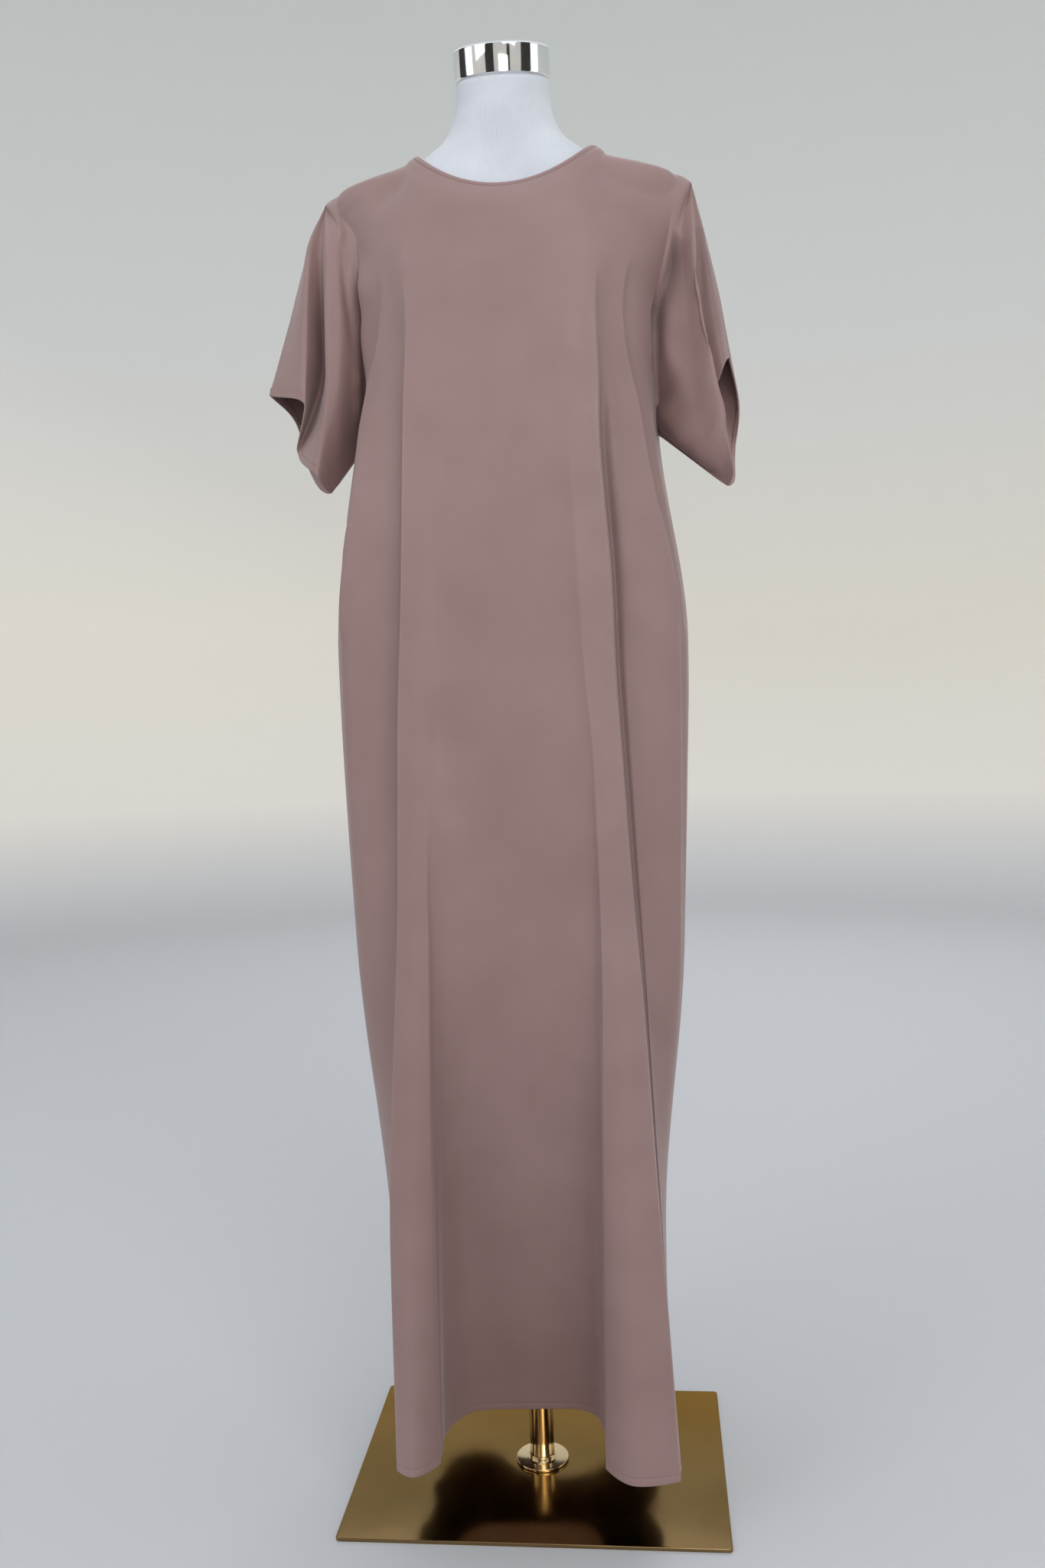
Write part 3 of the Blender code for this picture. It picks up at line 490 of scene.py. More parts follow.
class Panel:
    """One panel of the dress as a grid of points: rows from the hem up, columns from seam to seam."""

    def __init__(self, front):
        self.front = front
        lines, steps, self.pleats, sleeve_steps = (
            (FRONT_LINES, FRONT_STEPS, FRONT_PLEATS, SLEEVE_FRONT_STEPS)
            if front
            else (BACK_LINES, BACK_STEPS, BACK_PLEATS, SLEEVE_BACK_STEPS)
        )
        body_shares = shares_of(steps, True, True)
        start_shares = shares_of(sleeve_steps, True)
        end_shares = shares_of(sleeve_steps[::-1], crowd_last=True)
        skirt_heights = rows_up(HEM, ARMPIT, SKIRT_PITCH)
        yoke = rows_up(ARMPIT, CHEST, YOKE_PITCH)
        top_count = round((TOP - CHEST) / YOKE_PITCH * 2)
        shares = 1 - (1 - np.arange(top_count + 1) / top_count) ** SEAM_CROWDING
        levels = np.concatenate((yoke, CHEST + (TOP - CHEST) * shares))

        # The body from the armpit up: even rows, then curves from the chest into the neckline and shoulders
        edge, ways = upper_edge(front, steps)
        chest, even = (part[0] for part in skirt_rows(lines, body_shares, np.array([CHEST]), self.pleats))
        reach = EDGE_REACH * np.linalg.norm(edge - chest, axis=1)[None, :, None]
        top = hermite(shares[:, None, None], chest, reach * np.array((0.0, 0.0, 1.0)), edge, reach * ways)
        lower_yoke, yoke_places = skirt_rows(lines, body_shares, yoke, self.pleats)
        body = np.concatenate((lower_yoke, top))
        fade = smooth_step(shares / YOKE_FADE[0]) * smooth_step((1 - shares) / YOKE_FADE[1])
        hold = np.concatenate((np.zeros(len(yoke)), fade))[:, None, None]
        for _ in range(YOKE_EVENING):
            body[:, 1:-1] += hold / 2 * ((body[:, :-2] + body[:, 2:]) / 2 - body[:, 1:-1])
        body = settled(body, front)
        body[-1] = edge

        # The sleeves, drawn out from the body's two edges, and straight under the arm
        sleeve_levels = np.where(levels < CHEST, levels, np.interp(levels, YOKE_LEVELS, SLEEVE_LEVELS))
        first = (LEFT_SLEEVE_FRONT, -1) if front else (RIGHT_SLEEVE_BACK, 1)
        last = (RIGHT_SLEEVE_FRONT, 1) if front else (LEFT_SLEEVE_BACK, -1)
        start = sleeve_rows(first[0], sleeve_levels, first[1])
        end = sleeve_rows(last[0], sleeve_levels, last[1])
        left = curves_through([*start, body[:, 0]], start_shares)
        right = curves_through([body[:, -1], *end[::-1]], end_shares)
        self.straight = sleeve_steps[-1] * FINE
        hold = np.clip((UNDERARM_STRAIGHT_TO - levels) / (UNDERARM_STRAIGHT_TO - ARMPIT), 0.0, 1.0)[:, None]
        for i in range(1, self.straight + 1):
            along = i / self.straight
            left[:, -1 - i] += (body[:, 0] + (start[-1] - body[:, 0]) * along - left[:, -1 - i]) * hold
            right[:, i] += (body[:, -1] + (end[-1] - body[:, -1]) * along - right[:, i]) * hold
        upper = np.concatenate((left[:, :-1], body, right[:, 1:]), axis=1)
        lower, skirt_places = skirt_rows(lines, body_shares, skirt_heights, self.pleats)

        # The grid: the first and last columns of the body, and how many columns each one lies inside them
        self.lead = left.shape[1] - 1
        self.last = self.lead + body.shape[1] - 1
        self.inner = slice(self.lead, self.last + 1)
        self.skirt_count = len(skirt_heights)
        self.level = np.concatenate((skirt_heights, levels))
        self.rows, self.columns = len(self.level), upper.shape[1]
        column = np.arange(self.columns)
        self.inside = np.minimum(column - self.lead, self.last - column)
        self.points = np.full((self.rows, self.columns, 3), np.nan)
        self.points[self.skirt_count :] = upper
        self.points[: self.skirt_count, self.inner] = lower
        self.there = ~np.isnan(self.points[..., 0])
        self.line = counted([*start_shares, *body_shares, *end_shares]) - len(sleeve_steps)
        self.places = np.tile(self.line, (self.rows, 1))
        self.places[:, self.inner] = np.concatenate((skirt_places, yoke_places, np.tile(even, (top_count + 1, 1))))
        self.middle = len(lines) // 2
        self.measure()

    def measure(self):
        """Cloth coordinates: the way along each row from the centre line, and up each column from its lower edge."""
        steps = np.linalg.norm(np.diff(self.points, axis=1), axis=2)
        along = np.concatenate((np.zeros((self.rows, 1)), np.cumsum(np.nan_to_num(steps), axis=1)), axis=1)
        centre = int(np.argmin(np.abs(self.line - self.middle)))
        self.along = along - along[:, centre : centre + 1]
        self.from_start = along - along[:, :1]
        self.from_end = along[:, -1:] - along
        rises = np.nan_to_num(np.linalg.norm(np.diff(self.points, axis=0), axis=2))
        self.up = np.concatenate((np.zeros((1, self.columns)), np.cumsum(rises, axis=0)), axis=0)
        self.up_yoke = self.up - self.up[self.skirt_count]
        self.down = self.up[-1] - self.up

    def faces(self):
        """Corners of each square of the grid, as numbers of grid points."""
        number = np.arange(self.rows * self.columns).reshape(self.rows, self.columns)
        squares = np.stack((number[:-1, :-1], number[:-1, 1:], number[1:, 1:], number[1:, :-1]), axis=-1)
        return squares[self.there.ravel()[squares].all(axis=-1)]

    def spot(self, line, level):
        """The cloth coordinates of a place given by fold line and height."""
        row = np.interp(level, self.level, np.arange(self.rows))
        row = max(row, self.skirt_count) if not 0 <= line <= 2 * self.middle else row
        low = int(row)
        high = min(low + 1, self.rows - 1)
        columns = np.arange(self.columns)
        ends = [np.interp(np.interp(line, self.places[k], columns), columns, self.along[k]) for k in (low, high)]
        return ends[0] * (1 - row + low) + ends[1] * (row - low), level


def fold_sharply(panel):
    """
    How far each grid point moves in x, y and z for the sharp folds: forward at a fold's edge and back at the hollow
    beside it, with the hollow's deep part tucked in behind the edge. The second answer is painted shade for the cloth's
    colour, from 0 to 1 in each hollow, less a painted highlight along each fold's edge.
    """
    pushes = np.zeros((panel.rows, panel.columns, 3))
    shade = np.zeros((panel.rows, panel.columns))
    facing = -1.0 if panel.front else 1.0
    for line, side, near, far, *rows in panel.pleats:
        edge, hollow = from_table(rows, panel.level, slice(2, None)).T[..., None]
        column = panel.lead + int(np.argmin(np.abs(panel.line[panel.inner] - line)))
        away = (panel.along - panel.along[:, column : column + 1]) * side
        rounded = np.sqrt(away**2 + FOLD_RADIUS**2) - FOLD_RADIUS
        ahead = np.maximum(away, 0.0) / far
        deep = ahead * np.exp(1 - ahead)
        pushes[..., 0] += facing * side * far * TUCK * deep**2 * np.clip(hollow / TUCK_FROM, 0.0, 1.0)
        pushes[..., 1] += facing * (edge * np.exp(-rounded / np.where(away > 0, far, near)) - hollow * deep)
        # Painted shade darkening the hollow beside the edge, and a painted highlight lightening the edge itself
        depth = np.clip(hollow / SHADE_FROM, 0.0, 1.0)
        shade += depth * np.clip(away / SHADE_START, 0.0, 1.0) * np.exp(-np.maximum(away, 0.0) / SHADE_REACH)
        shade -= LIP_PAINTED_HIGHLIGHT * np.sqrt(depth) * bell(away, LIP_HIGHLIGHT_WIDTH)
    keep = panel.there & (panel.inside >= 0)
    return np.where(keep[..., None], pushes, 0.0), np.where(keep, shade, 0.0)


def press(panel, creases):
    """How far each grid point moves out, or in where less than nothing, for creases drawn on the cloth. Given the
    deepest lines, the same sum is their painted shade.
    """
    moved = np.zeros((panel.rows, panel.columns))
    level = np.broadcast_to(panel.level[:, None], moved.shape)
    for before, after, depth, fade, *places in creases:
        last = len(places) - 1
        path = track(np.arange(last + 1), places, np.linspace(0, last, CREASE_STEPS * last + 1))
        spots = np.array([panel.spot(*place) for place in path])
        reach = CREASE_REACH * max(before, after)
        low, high = spots.min(axis=0) - reach, spots.max(axis=0) + reach
        near = panel.there & (panel.along > low[0]) & (panel.along < high[0]) & (level > low[1]) & (level < high[1])
        at = np.column_stack((panel.along[near], level[near]))
        best = np.full(len(at), FAR)
        share = np.zeros(len(at))
        side = np.zeros(len(at))
        lengths = lengths_along(spots)
        for k, run in enumerate(np.diff(spots, axis=0)):
            t = np.clip(((at - spots[k]) @ run) / max(run @ run, 1e-12), 0.0, 1.0)
            apart = at - spots[k] - t[:, None] * run
            away = np.linalg.norm(apart, axis=1)
            closer = away < best
            side = np.where(closer, apart[:, 0], side)
            best = np.where(closer, away, best)
            share = np.where(closer, lengths[k] + t * (lengths[k + 1] - lengths[k]), share)
        share = share / lengths[-1]
        strength = smooth_step(np.minimum(share, 1 - share) / fade)
        strength *= 1 - CREASE_WAVER + CREASE_WAVER * np.sin(CREASE_WAVES * share + CREASE_SHIFT * places[0][0])
        width = after + (before - after) * smooth_step(0.5 - side / (CREASE_BLEND * min(before, after)))
        moved[near] += depth * strength * bell(best, width)
    return moved


class Dress:
    """Both panels, with the points that they share at their seams."""

    def __init__(self):
        self.panels = (Panel(True), Panel(False))
        stacked = np.concatenate([panel.points[panel.there] for panel in self.panels])
        keys = np.round(stacked * MATCH_PER_METRE).astype(np.int64)
        _, first, shared = np.unique(keys, axis=0, return_index=True, return_inverse=True)
        self.points = stacked[first]
        self.numbers = [np.full(panel.there.shape, -1) for panel in self.panels]
        parted = np.split(shared.ravel(), [self.panels[0].there.sum()])
        for number, panel, part in zip(self.numbers, self.panels, parted):
            number[panel.there] = part
        self.squares = [number.ravel()[panel.faces()] for number, panel in zip(self.numbers, self.panels)]

    def normals(self):
        """Outward ways at the shared points."""
        total = np.zeros_like(self.points)
        for squares in self.squares:
            corner = self.points[squares]
            area = np.cross(corner[:, 2] - corner[:, 0], corner[:, 3] - corner[:, 1])
            for k in range(4):
                np.add.at(total, squares[:, k], area)
        return total / np.maximum(np.linalg.norm(total, axis=1), 1e-15)[:, None]

    def spread(self, values):
        """Values on both panels' grids as one value for each shared point."""
        total = np.zeros((len(self.points), *values[0].shape[2:]))
        weight = np.zeros_like(total)
        for number, value in zip(self.numbers, values):
            keep = number >= 0
            np.add.at(total, number[keep], value[keep])
            np.add.at(weight, number[keep], 1.0)
        return total / weight

    def write_back(self):
        for panel, number in zip(self.panels, self.numbers):
            panel.points[panel.there] = self.points[number[panel.there]]

    def shift(self, moves, pushes):
        """Moves the cloth out along its normals, adds the pushes, and keeps it off the dress form."""
        self.points = self.points + self.normals() * self.spread(moves)[:, None] + self.spread(pushes)
        self.write_back()
        for panel in self.panels:
            upper = panel.level >= CHEST
            panel.points[upper, panel.inner] = settled(panel.points[upper, panel.inner], panel.front)
        self.points = self.spread([panel.points for panel in self.panels])
        self.write_back()


def ring_faces(count, sides, base=0, closed=False, capped=True):
    """Faces between rings of points numbered from base, closed to a loop or with a cap on each end."""
    faces = []
    for k in range(count if closed else count - 1):
        low, high = base + k * sides, base + (k + 1) % count * sides
        faces += [[low + i, low + (i + 1) % sides, high + (i + 1) % sides, high + i] for i in range(sides)]
    if capped and not closed:
        last = base + (count - 1) * sides
        faces += [list(range(base, base + sides))[::-1], list(range(last, last + sides))]
    return faces


def linked(name, data):
    made = bpy.data.objects.new(name, data)
    bpy.context.scene.collection.objects.link(made)
    return made


def mesh_piece(name, points, faces, recalculate=True):
    """A smooth-shaded piece from points and faces."""
    mesh = bpy.data.meshes.new(name)
    mesh.from_pydata(np.asarray(points).tolist(), [], faces)
    if recalculate:
        work = bmesh.new()
        work.from_mesh(mesh)
        bmesh.ops.recalc_face_normals(work, faces=work.faces)
        work.to_mesh(mesh)
        work.free()
    for face in mesh.polygons:
        face.use_smooth = True
    return linked(name, mesh)


def shell(name, dress, which, thickness):
    """A thin closed wall on one panel's faces, with its cut as UVs and the painted shade and painted highlight of its
    folds as an attribute.
    """
    squares = dress.squares[which]
    own = np.unique(squares)
    local = np.searchsorted(own, squares)
    count = len(own)
    outer = dress.points[own]
    inner = outer - dress.normals()[own] * thickness[own][:, None]
    edges = np.concatenate([np.stack((local[:, k], local[:, (k + 1) % 4]), axis=1) for k in range(4)])
    edges = edges[edges[:, 0] != edges[:, 1]]
    rim = edges[~np.isin(edges @ (count, 1), edges @ (1, count))]
    faces = []
    for square in local.tolist():
        face = [c for k, c in enumerate(square) if c != square[k - 1]]
        if len(face) > 2:
            faces += [face, [c + count for c in reversed(face)]]
    faces += [[b, a, a + count, b + count] for a, b in rim.tolist()]
    made = mesh_piece(name, np.concatenate((outer, inner)), faces, recalculate=False)
    mesh = made.data
    mesh.validate()
    panel, number = dress.panels[which], dress.numbers[which]
    place = np.zeros((len(dress.points), 2))
    place[number[panel.there], 0] = panel.along[panel.there]
    place[number[panel.there], 1] = np.broadcast_to(panel.level[:, None], number.shape)[panel.there]
    loops = np.empty(len(mesh.loops), dtype=np.int64)
    mesh.loops.foreach_get("vertex_index", loops)
    mesh.uv_layers.new(name="cut").data.foreach_set("uv", np.tile(place[own], (2, 1))[loops].ravel())
    # Painted shade in the fold hollows and painted highlight on the fold edges, read by the crepe's colour
    deep = mesh.attributes.new(name="painted_crease_shade", type="FLOAT", domain="POINT")
    deep.data.foreach_set("value", np.tile(dress.shade[own], 2))
    return made


def from_hem(panel):
    """How far each grid point lies up from the hem of the skirt or the sleeve."""
    above = np.arange(panel.rows)[:, None] >= panel.skirt_count
    away = np.where(above, FAR, panel.up)
    return np.where(above & (panel.inside < -panel.straight), panel.up_yoke, away)


def from_seam(panel):
    """How far each grid point lies from the nearest seam."""
    above = np.arange(panel.rows)[:, None] >= panel.skirt_count
    skirt_start = panel.along - panel.along[:, panel.lead : panel.lead + 1]
    skirt_end = panel.along[:, panel.last : panel.last + 1] - panel.along
    away = np.where(above, np.minimum(panel.from_start, panel.from_end), np.minimum(skirt_start, skirt_end))
    underarm = above & (panel.inside >= -panel.straight) & (panel.inside <= 0)
    away = np.where(underarm, np.minimum(away, panel.up_yoke), away)
    shoulder = (panel.inside >= 0) & (panel.inside <= SHOULDER)
    return np.where(shoulder, np.minimum(away, panel.down), away)


# Creases pressed into the cloth: how wide they are on the side before the line and on the side after it (along the
# row), the height of the ridge (or depth of the trough, below nothing), how much of its length each end fades over,
# then its places as fold line and height
RIGHT_GROOVE = ((16.4, 1.31), (16.2, 1.275), (16.0, 1.24), (15.95, 1.20))
LEFT_GROOVE = ((1.6, 1.357), (0.4, 1.358), (-0.6, 1.345), (-0.75, 1.31), (-0.6, 1.27), (-0.25, 1.215))
FRONT_CREASES = (
    # edge of the bust, where the cloth starts to fall straight
    (0.034, 0.034, 0.0045, 0.30, (2.6, 1.285), (5.0, 1.262), (8.0, 1.252), (11.0, 1.262), (13.6, 1.290)),
    # body beside the left armpit
    (0.010, 0.020, 0.0070, 0.25, (0.35, 1.31), (0.30, 1.24), (0.35, 1.17)),
    # groove between the body and the right sleeve
    (0.003, 0.014, -0.0080, 0.30, (16.5, 1.335), *RIGHT_GROOVE, (15.8, 1.165)),
    # shallow stretch left of the right inner fold
    (0.014, 0.018, -0.0018, 0.25, (11.9, 1.08), (12.0, 0.85), (12.0, 0.50), (11.9, 0.16)),
    # soft edge where the left lobe falls back to the middle stretch
    (0.012, 0.034, -0.0040, 0.28, (5.1, 1.05), (5.4, 0.92), (5.55, 0.80), (5.6, 0.72)),
    # pocket mouths: the edge stands a little proud of the hollow behind it
    (0.010, 0.005, 0.0020, 0.12, (14.95, 1.035), (15.0, 0.97), (14.98, 0.912)),
    (0.005, 0.010, -0.0034, 0.12, (15.25, 1.035), (15.3, 0.97), (15.28, 0.912)),
    (0.005, 0.010, 0.0024, 0.12, (1.05, 1.035), (1.0, 0.97), (1.02, 0.912)),
    (0.010, 0.005, -0.0034, 0.12, (0.75, 1.035), (0.7, 0.97), (0.72, 0.912)),
    # long soft folds on the flanks
    (0.012, 0.020, -0.0046, 0.22, (15.45, 0.86), (15.4, 0.62), (15.5, 0.40), (15.4, 0.14)),
    (0.020, 0.012, -0.0040, 0.22, (0.55, 0.84), (0.6, 0.58), (0.5, 0.38), (0.6, -0.1)),
    # groove round the left armpit
    (0.005, 0.005, -0.0034, 0.20, *LEFT_GROOVE),
    (0.006, 0.006, 0.0050, 0.25, (-0.32, 1.215), (-0.30, 1.185), (-0.28, 1.150)),
    # front lobe of the left sleeve
    (0.016, 0.014, 0.0024, 0.25, (-0.95, 1.305), (-0.95, 1.25), (-0.95, 1.18), (-1.0, 1.135)),
    # rolled edge over the right underarm
    (0.022, 0.026, 0.0150, 0.30, (16.0, 1.152), (16.4, 1.147), (16.8, 1.140), (17.2, 1.134)),
    (0.040, 0.040, -0.0050, 0.30, (17.2, 1.30), (17.4, 1.25), (17.4, 1.20)),
)
# Painted shade along the deepest lines of the cloth, given in the same way, with how much painted shade they add to
# the cloth's colour in place of the height
FRONT_PAINTED_SHADE_LINES = (
    (0.002, 0.014, 1.30, 0.25, (16.5, 1.345), *RIGHT_GROOVE, (15.75, 1.155)),
    (0.002, 0.020, 0.60, 0.10, (19.0, 1.36), (19.0, 1.30), (19.0, 1.22), (19.0, 1.155)),
    (0.003, 0.006, 0.35, 0.20, *LEFT_GROOVE),
    (0.003, 0.006, 0.40, 0.15, (15.2, 1.035), (15.25, 0.97), (15.22, 0.912)),
    (0.006, 0.003, 0.40, 0.15, (0.80, 1.035), (0.75, 0.97), (0.77, 0.912)),
)
# Painted shade in the back's hollows beside its two big folds
BACK_PAINTED_SHADE_LINES = (
    (0.003, 0.008, 0.40, 0.18, (2.6, -0.1), (2.75, 0.30), (2.6, 0.60), (2.5, 0.95), (2.7, 1.15)),
    (0.008, 0.003, 0.40, 0.20, (7.3, -0.1), (7.15, 0.35), (7.4, 0.70), (7.3, 1.02)),
)
BACK_CREASES = (
    # hollows beside the two big folds, steep on the fold's side
    (0.010, 0.030, -0.0075, 0.18, (2.6, -0.1), (2.75, 0.30), (2.6, 0.60), (2.5, 0.95), (2.7, 1.15)),
    (0.030, 0.010, -0.0065, 0.20, (7.3, -0.1), (7.15, 0.35), (7.4, 0.70), (7.3, 1.02)),
    # soft fold down the middle of the skirt
    (0.024, 0.018, 0.0045, 0.28, (5.1, -0.1), (5.2, 0.30), (4.9, 0.66)),
    # flanks
    (0.014, 0.028, -0.0055, 0.22, (1.35, 0.10), (1.2, 0.45), (1.4, 0.84)),
    (0.028, 0.014, -0.0050, 0.22, (8.75, -0.1), (8.9, 0.40), (8.65, 0.74)),
    # drawn from the armpits towards the shoulder blades
    (0.010, 0.016, -0.0036, 0.30, (0.5, 1.165), (1.5, 1.235), (2.6, 1.285)),
    (0.016, 0.010, -0.0030, 0.30, (9.5, 1.175), (8.6, 1.225), (7.7, 1.26)),
    # sleeves' hidden sides
    (0.012, 0.020, -0.0045, 0.25, (-1.5, 1.30), (-1.6, 1.22), (-1.5, 1.15)),
    (0.020, 0.012, -0.0045, 0.25, (11.6, 1.31), (11.7, 1.23), (11.5, 1.15)),
)

dress = Dress()
moves, pushes, shades, turned = [], [], [], []
for panel, creases, painted_shade_lines in zip(
    dress.panels, (FRONT_CREASES, BACK_CREASES), (FRONT_PAINTED_SHADE_LINES, BACK_PAINTED_SHADE_LINES)
):
    seam, hem = from_seam(panel), from_hem(panel)
    calm = smooth_step(seam / SEAM_CALM)
    push, shade = fold_sharply(panel)
    trough = HEM_LINE[0] * bell(hem - HEM_DEPTH, HEM_LINE[1]) + SEAM_LINE[0] * bell(seam, SEAM_LINE[1])
    moves.append(np.nan_to_num(press(panel, creases) * calm - trough))
    pushes.append(push * calm[..., None])
    # Painted shade in the fold hollows and along the deepest lines, less the painted highlight on the fold edges, for
    # the cloth's colour
    shades.append(shade + press(panel, painted_shade_lines))
    turned.append(smooth_step((HEM_DEPTH + HEM_LAYER_PAST - hem) / HEM_LAYER_STEP))
dress.shift(moves, pushes)
# The painted shade and highlight as one value for each shared point
dress.shade = dress.spread(shades)
thickness = CLOTH_WALL * (1 + HEM_LAYER * dress.spread(turned))
front_cloth = shell("dress_front_cloth", dress, 0, thickness)
back_cloth = shell("dress_back_cloth", dress, 1, thickness)


# Neck binding, with its section as shares of its width and of half its thickness
BINDING_WIDTH = 0.0062
BINDING_THICKNESS = 0.0017
BINDING_GAP = 0.0004
BINDING_EVENING = 100
BINDING_SECTION = (
    (0.10, -1.0), (0.02, -0.6), (0.0, 0.0), (0.02, 0.6), (0.10, 1.0), (0.22, 0.86), (0.34, 1.06),
    (0.60, 1.15), (0.86, 1.0), (0.96, 0.6), (1.0, 0.0), (0.96, -0.6), (0.86, -1.0), (0.50, -1.05),
)
# The section's point that the stitches lie on, and the grid row that lies a little below the neckline
BINDING_STITCHED_AT = 5
ROW_BELOW_NECK = -5


def evened(ways, rounds):
    """Directions round a closed loop, each drawn towards its two neighbours."""
    for _ in range(rounds):
        ways = unit(np.roll(ways, 1, axis=0) + 2 * ways + np.roll(ways, -1, axis=0))
    return ways


normals = dress.normals()
around = [
    number[:, panel.lead + SHOULDER : panel.last - SHOULDER] for panel, number in zip(dress.panels, dress.numbers)
]
neckline = np.concatenate([number[-1] for number in around])
edge = dress.points[neckline]
below = dress.points[np.concatenate([number[ROW_BELOW_NECK] for number in around])]
outs = evened(normals[neckline], BINDING_EVENING)
ahead = unit(np.roll(edge, -1, axis=0) - np.roll(edge, 1, axis=0))
outs = unit(outs - ahead * np.sum(outs * ahead, axis=1, keepdims=True))
ups = np.cross(outs, ahead)
ups *= np.sign(np.sum(ups * (edge - below), axis=1, keepdims=True))
section = np.array(BINDING_SECTION)
rings = (
    (edge - outs * CLOTH_WALL / 2)[:, None]
    + ups[:, None] * (BINDING_GAP + BINDING_WIDTH * section[None, :, :1])
    + outs[:, None] * (BINDING_THICKNESS / 2 * section[None, :, 1:])
)
faces = ring_faces(len(rings), len(section), closed=True)
binding = mesh_piece("neck_binding_strip", rings.reshape(-1, 3), faces)


# Stitches: thread radius, and each ring of one stitch as share of its length, size and lift in thread radii
THREAD = 0.00022
STITCH_SIDES = 6
STITCH_RINGS = ((0.0, 0.25, -0.4), (0.18, 0.9, 0.35), (0.5, 1.0, 0.6), (0.82, 0.9, 0.35), (1.0, 0.25, -0.4))
# Pitch and length of the stitches
HEM_STITCH = (0.0031, 0.0024)
BINDING_STITCH = (0.0028, 0.0021)
# Rows up from the hem that surely reach past its stitches
HEM_LOOK = 40


def sample(at, lengths, values):
    return np.array([np.interp(at, lengths, values[:, k]) for k in range(3)])


def stitches(name, path, outs, pitch, length):
    """Short rounded thread stitches in a row along a path."""
    lengths = lengths_along(path)
    points, faces = [], []
    for start in (np.arange(int(lengths[-1] / pitch)) + 0.5) * pitch:
        at = [sample(start + length * (share - 0.5), lengths, path) for share, _, _ in STITCH_RINGS]
        out = unit(sample(start, lengths, outs))
        side = np.cross(unit(at[-1] - at[0]), out)
        faces += ring_faces(len(STITCH_RINGS), STITCH_SIDES, base=len(points))
        for place, (_, size, lift) in zip(at, STITCH_RINGS):
            for k in range(STITCH_SIDES):
                turn = 2 * math.pi * k / STITCH_SIDES
                points.append(place + THREAD * (out * (lift + size * math.cos(turn)) + side * size * math.sin(turn)))
    return mesh_piece(name, points, faces)


def hem_path(which, columns, first_row):
    """Points on the hem's stitch line in the columns given, and the outward ways there."""
    points, outs = [], []
    for column in columns:
        index = dress.numbers[which][first_row:, column]
        index = index[index >= 0][:HEM_LOOK]
        rise = lengths_along(dress.points[index])
        points.append(sample(HEM_DEPTH, rise, dress.points[index]))
        outs.append(sample(HEM_DEPTH, rise, normals[index]))
    return np.array(points), np.array(outs)


def joined(*paths):
    return [np.concatenate(parts) for parts in zip(*paths)]


skirt = joined(*[hem_path(k, range(panel.lead, panel.last + 1), 0) for k, panel in enumerate(dress.panels)])
hem_stitches = stitches("skirt_hem_stitches", *skirt, *HEM_STITCH)
sleeve_stitches = []
for side, a, b in (("left", 0, 1), ("right", 1, 0)):
    first, second = dress.panels[a], dress.panels[b]
    start = hem_path(a, range(first.lead - first.straight), first.skirt_count)
    end = hem_path(b, range(second.last + 1 + second.straight, second.columns), second.skirt_count)
    sleeve_stitches.append(stitches(side + "_sleeve_hem_stitches", *joined(end, start), *HEM_STITCH))
loop = rings[:, BINDING_STITCHED_AT]
loop = joined((loop, outs), (loop[:1], outs[:1]))
binding_stitches = stitches("binding_stitches", *loop, *BINDING_STITCH)


# Materials
def feed(tree, socket, value):
    """Sets a socket to a value, or links another node's output to it."""
    if isinstance(value, bpy.types.NodeSocket):
        tree.links.new(value, socket)
    else:
        socket.default_value = value


def fill(tree, node, **inputs):
    for name, value in inputs.items():
        feed(tree, node.inputs[name.replace("_", " ")], value)
    return node


def add(tree, kind, **inputs):
    return fill(tree, tree.nodes.new(kind), **inputs)


def calculate(tree, operation, *values):
    """A number worked out from values or other nodes' outputs."""
    node = tree.nodes.new("ShaderNodeMath")
    node.operation = operation
    for socket, value in zip(node.inputs, values):
        feed(tree, socket, value)
    return node.outputs[0]


def new_material(name):
    """A new material, its tree, its shader and its object coordinates."""
    made = bpy.data.materials.new(name)
    made.use_nodes = True
    tree = made.node_tree
    return made, tree, tree.nodes["Principled BSDF"], add(tree, "ShaderNodeTexCoord").outputs["Object"]


def noise(tree, place, scale, detail=2.0, roughness=0.5, stretch=None):
    if stretch:
        place = add(tree, "ShaderNodeMapping", Vector=place, Scale=stretch).outputs["Vector"]
    node = add(tree, "ShaderNodeTexNoise", Vector=place, Scale=scale, Detail=detail, Roughness=roughness)
    return node.outputs["Fac"]


def ramp(tree, value, *tones):
    """Turns a noise value into a colour, or into a grey where the tones are numbers."""
    node = add(tree, "ShaderNodeValToRGB", Fac=value)
    for element, at, tone in zip(node.color_ramp.elements, (0.3, 0.7), tones):
        element.position = at
        element.color = (*np.broadcast_to(tone, 3), 1.0)
    return node.outputs["Color"]


def bumps(tree, shader, *layers):
    """Bump nodes one after another: each is a height, a strength and a distance."""
    before = {}
    for height, strength, distance in layers:
        node = add(tree, "ShaderNodeBump", Height=height, Strength=strength, Distance=distance, **before)
        before = {"Normal": node.outputs["Normal"]}
    fill(tree, shader, **before)


# How much darker the crepe's colour is painted where its painted shade is deepest
PAINTED_CREASE_SHADE = 0.38


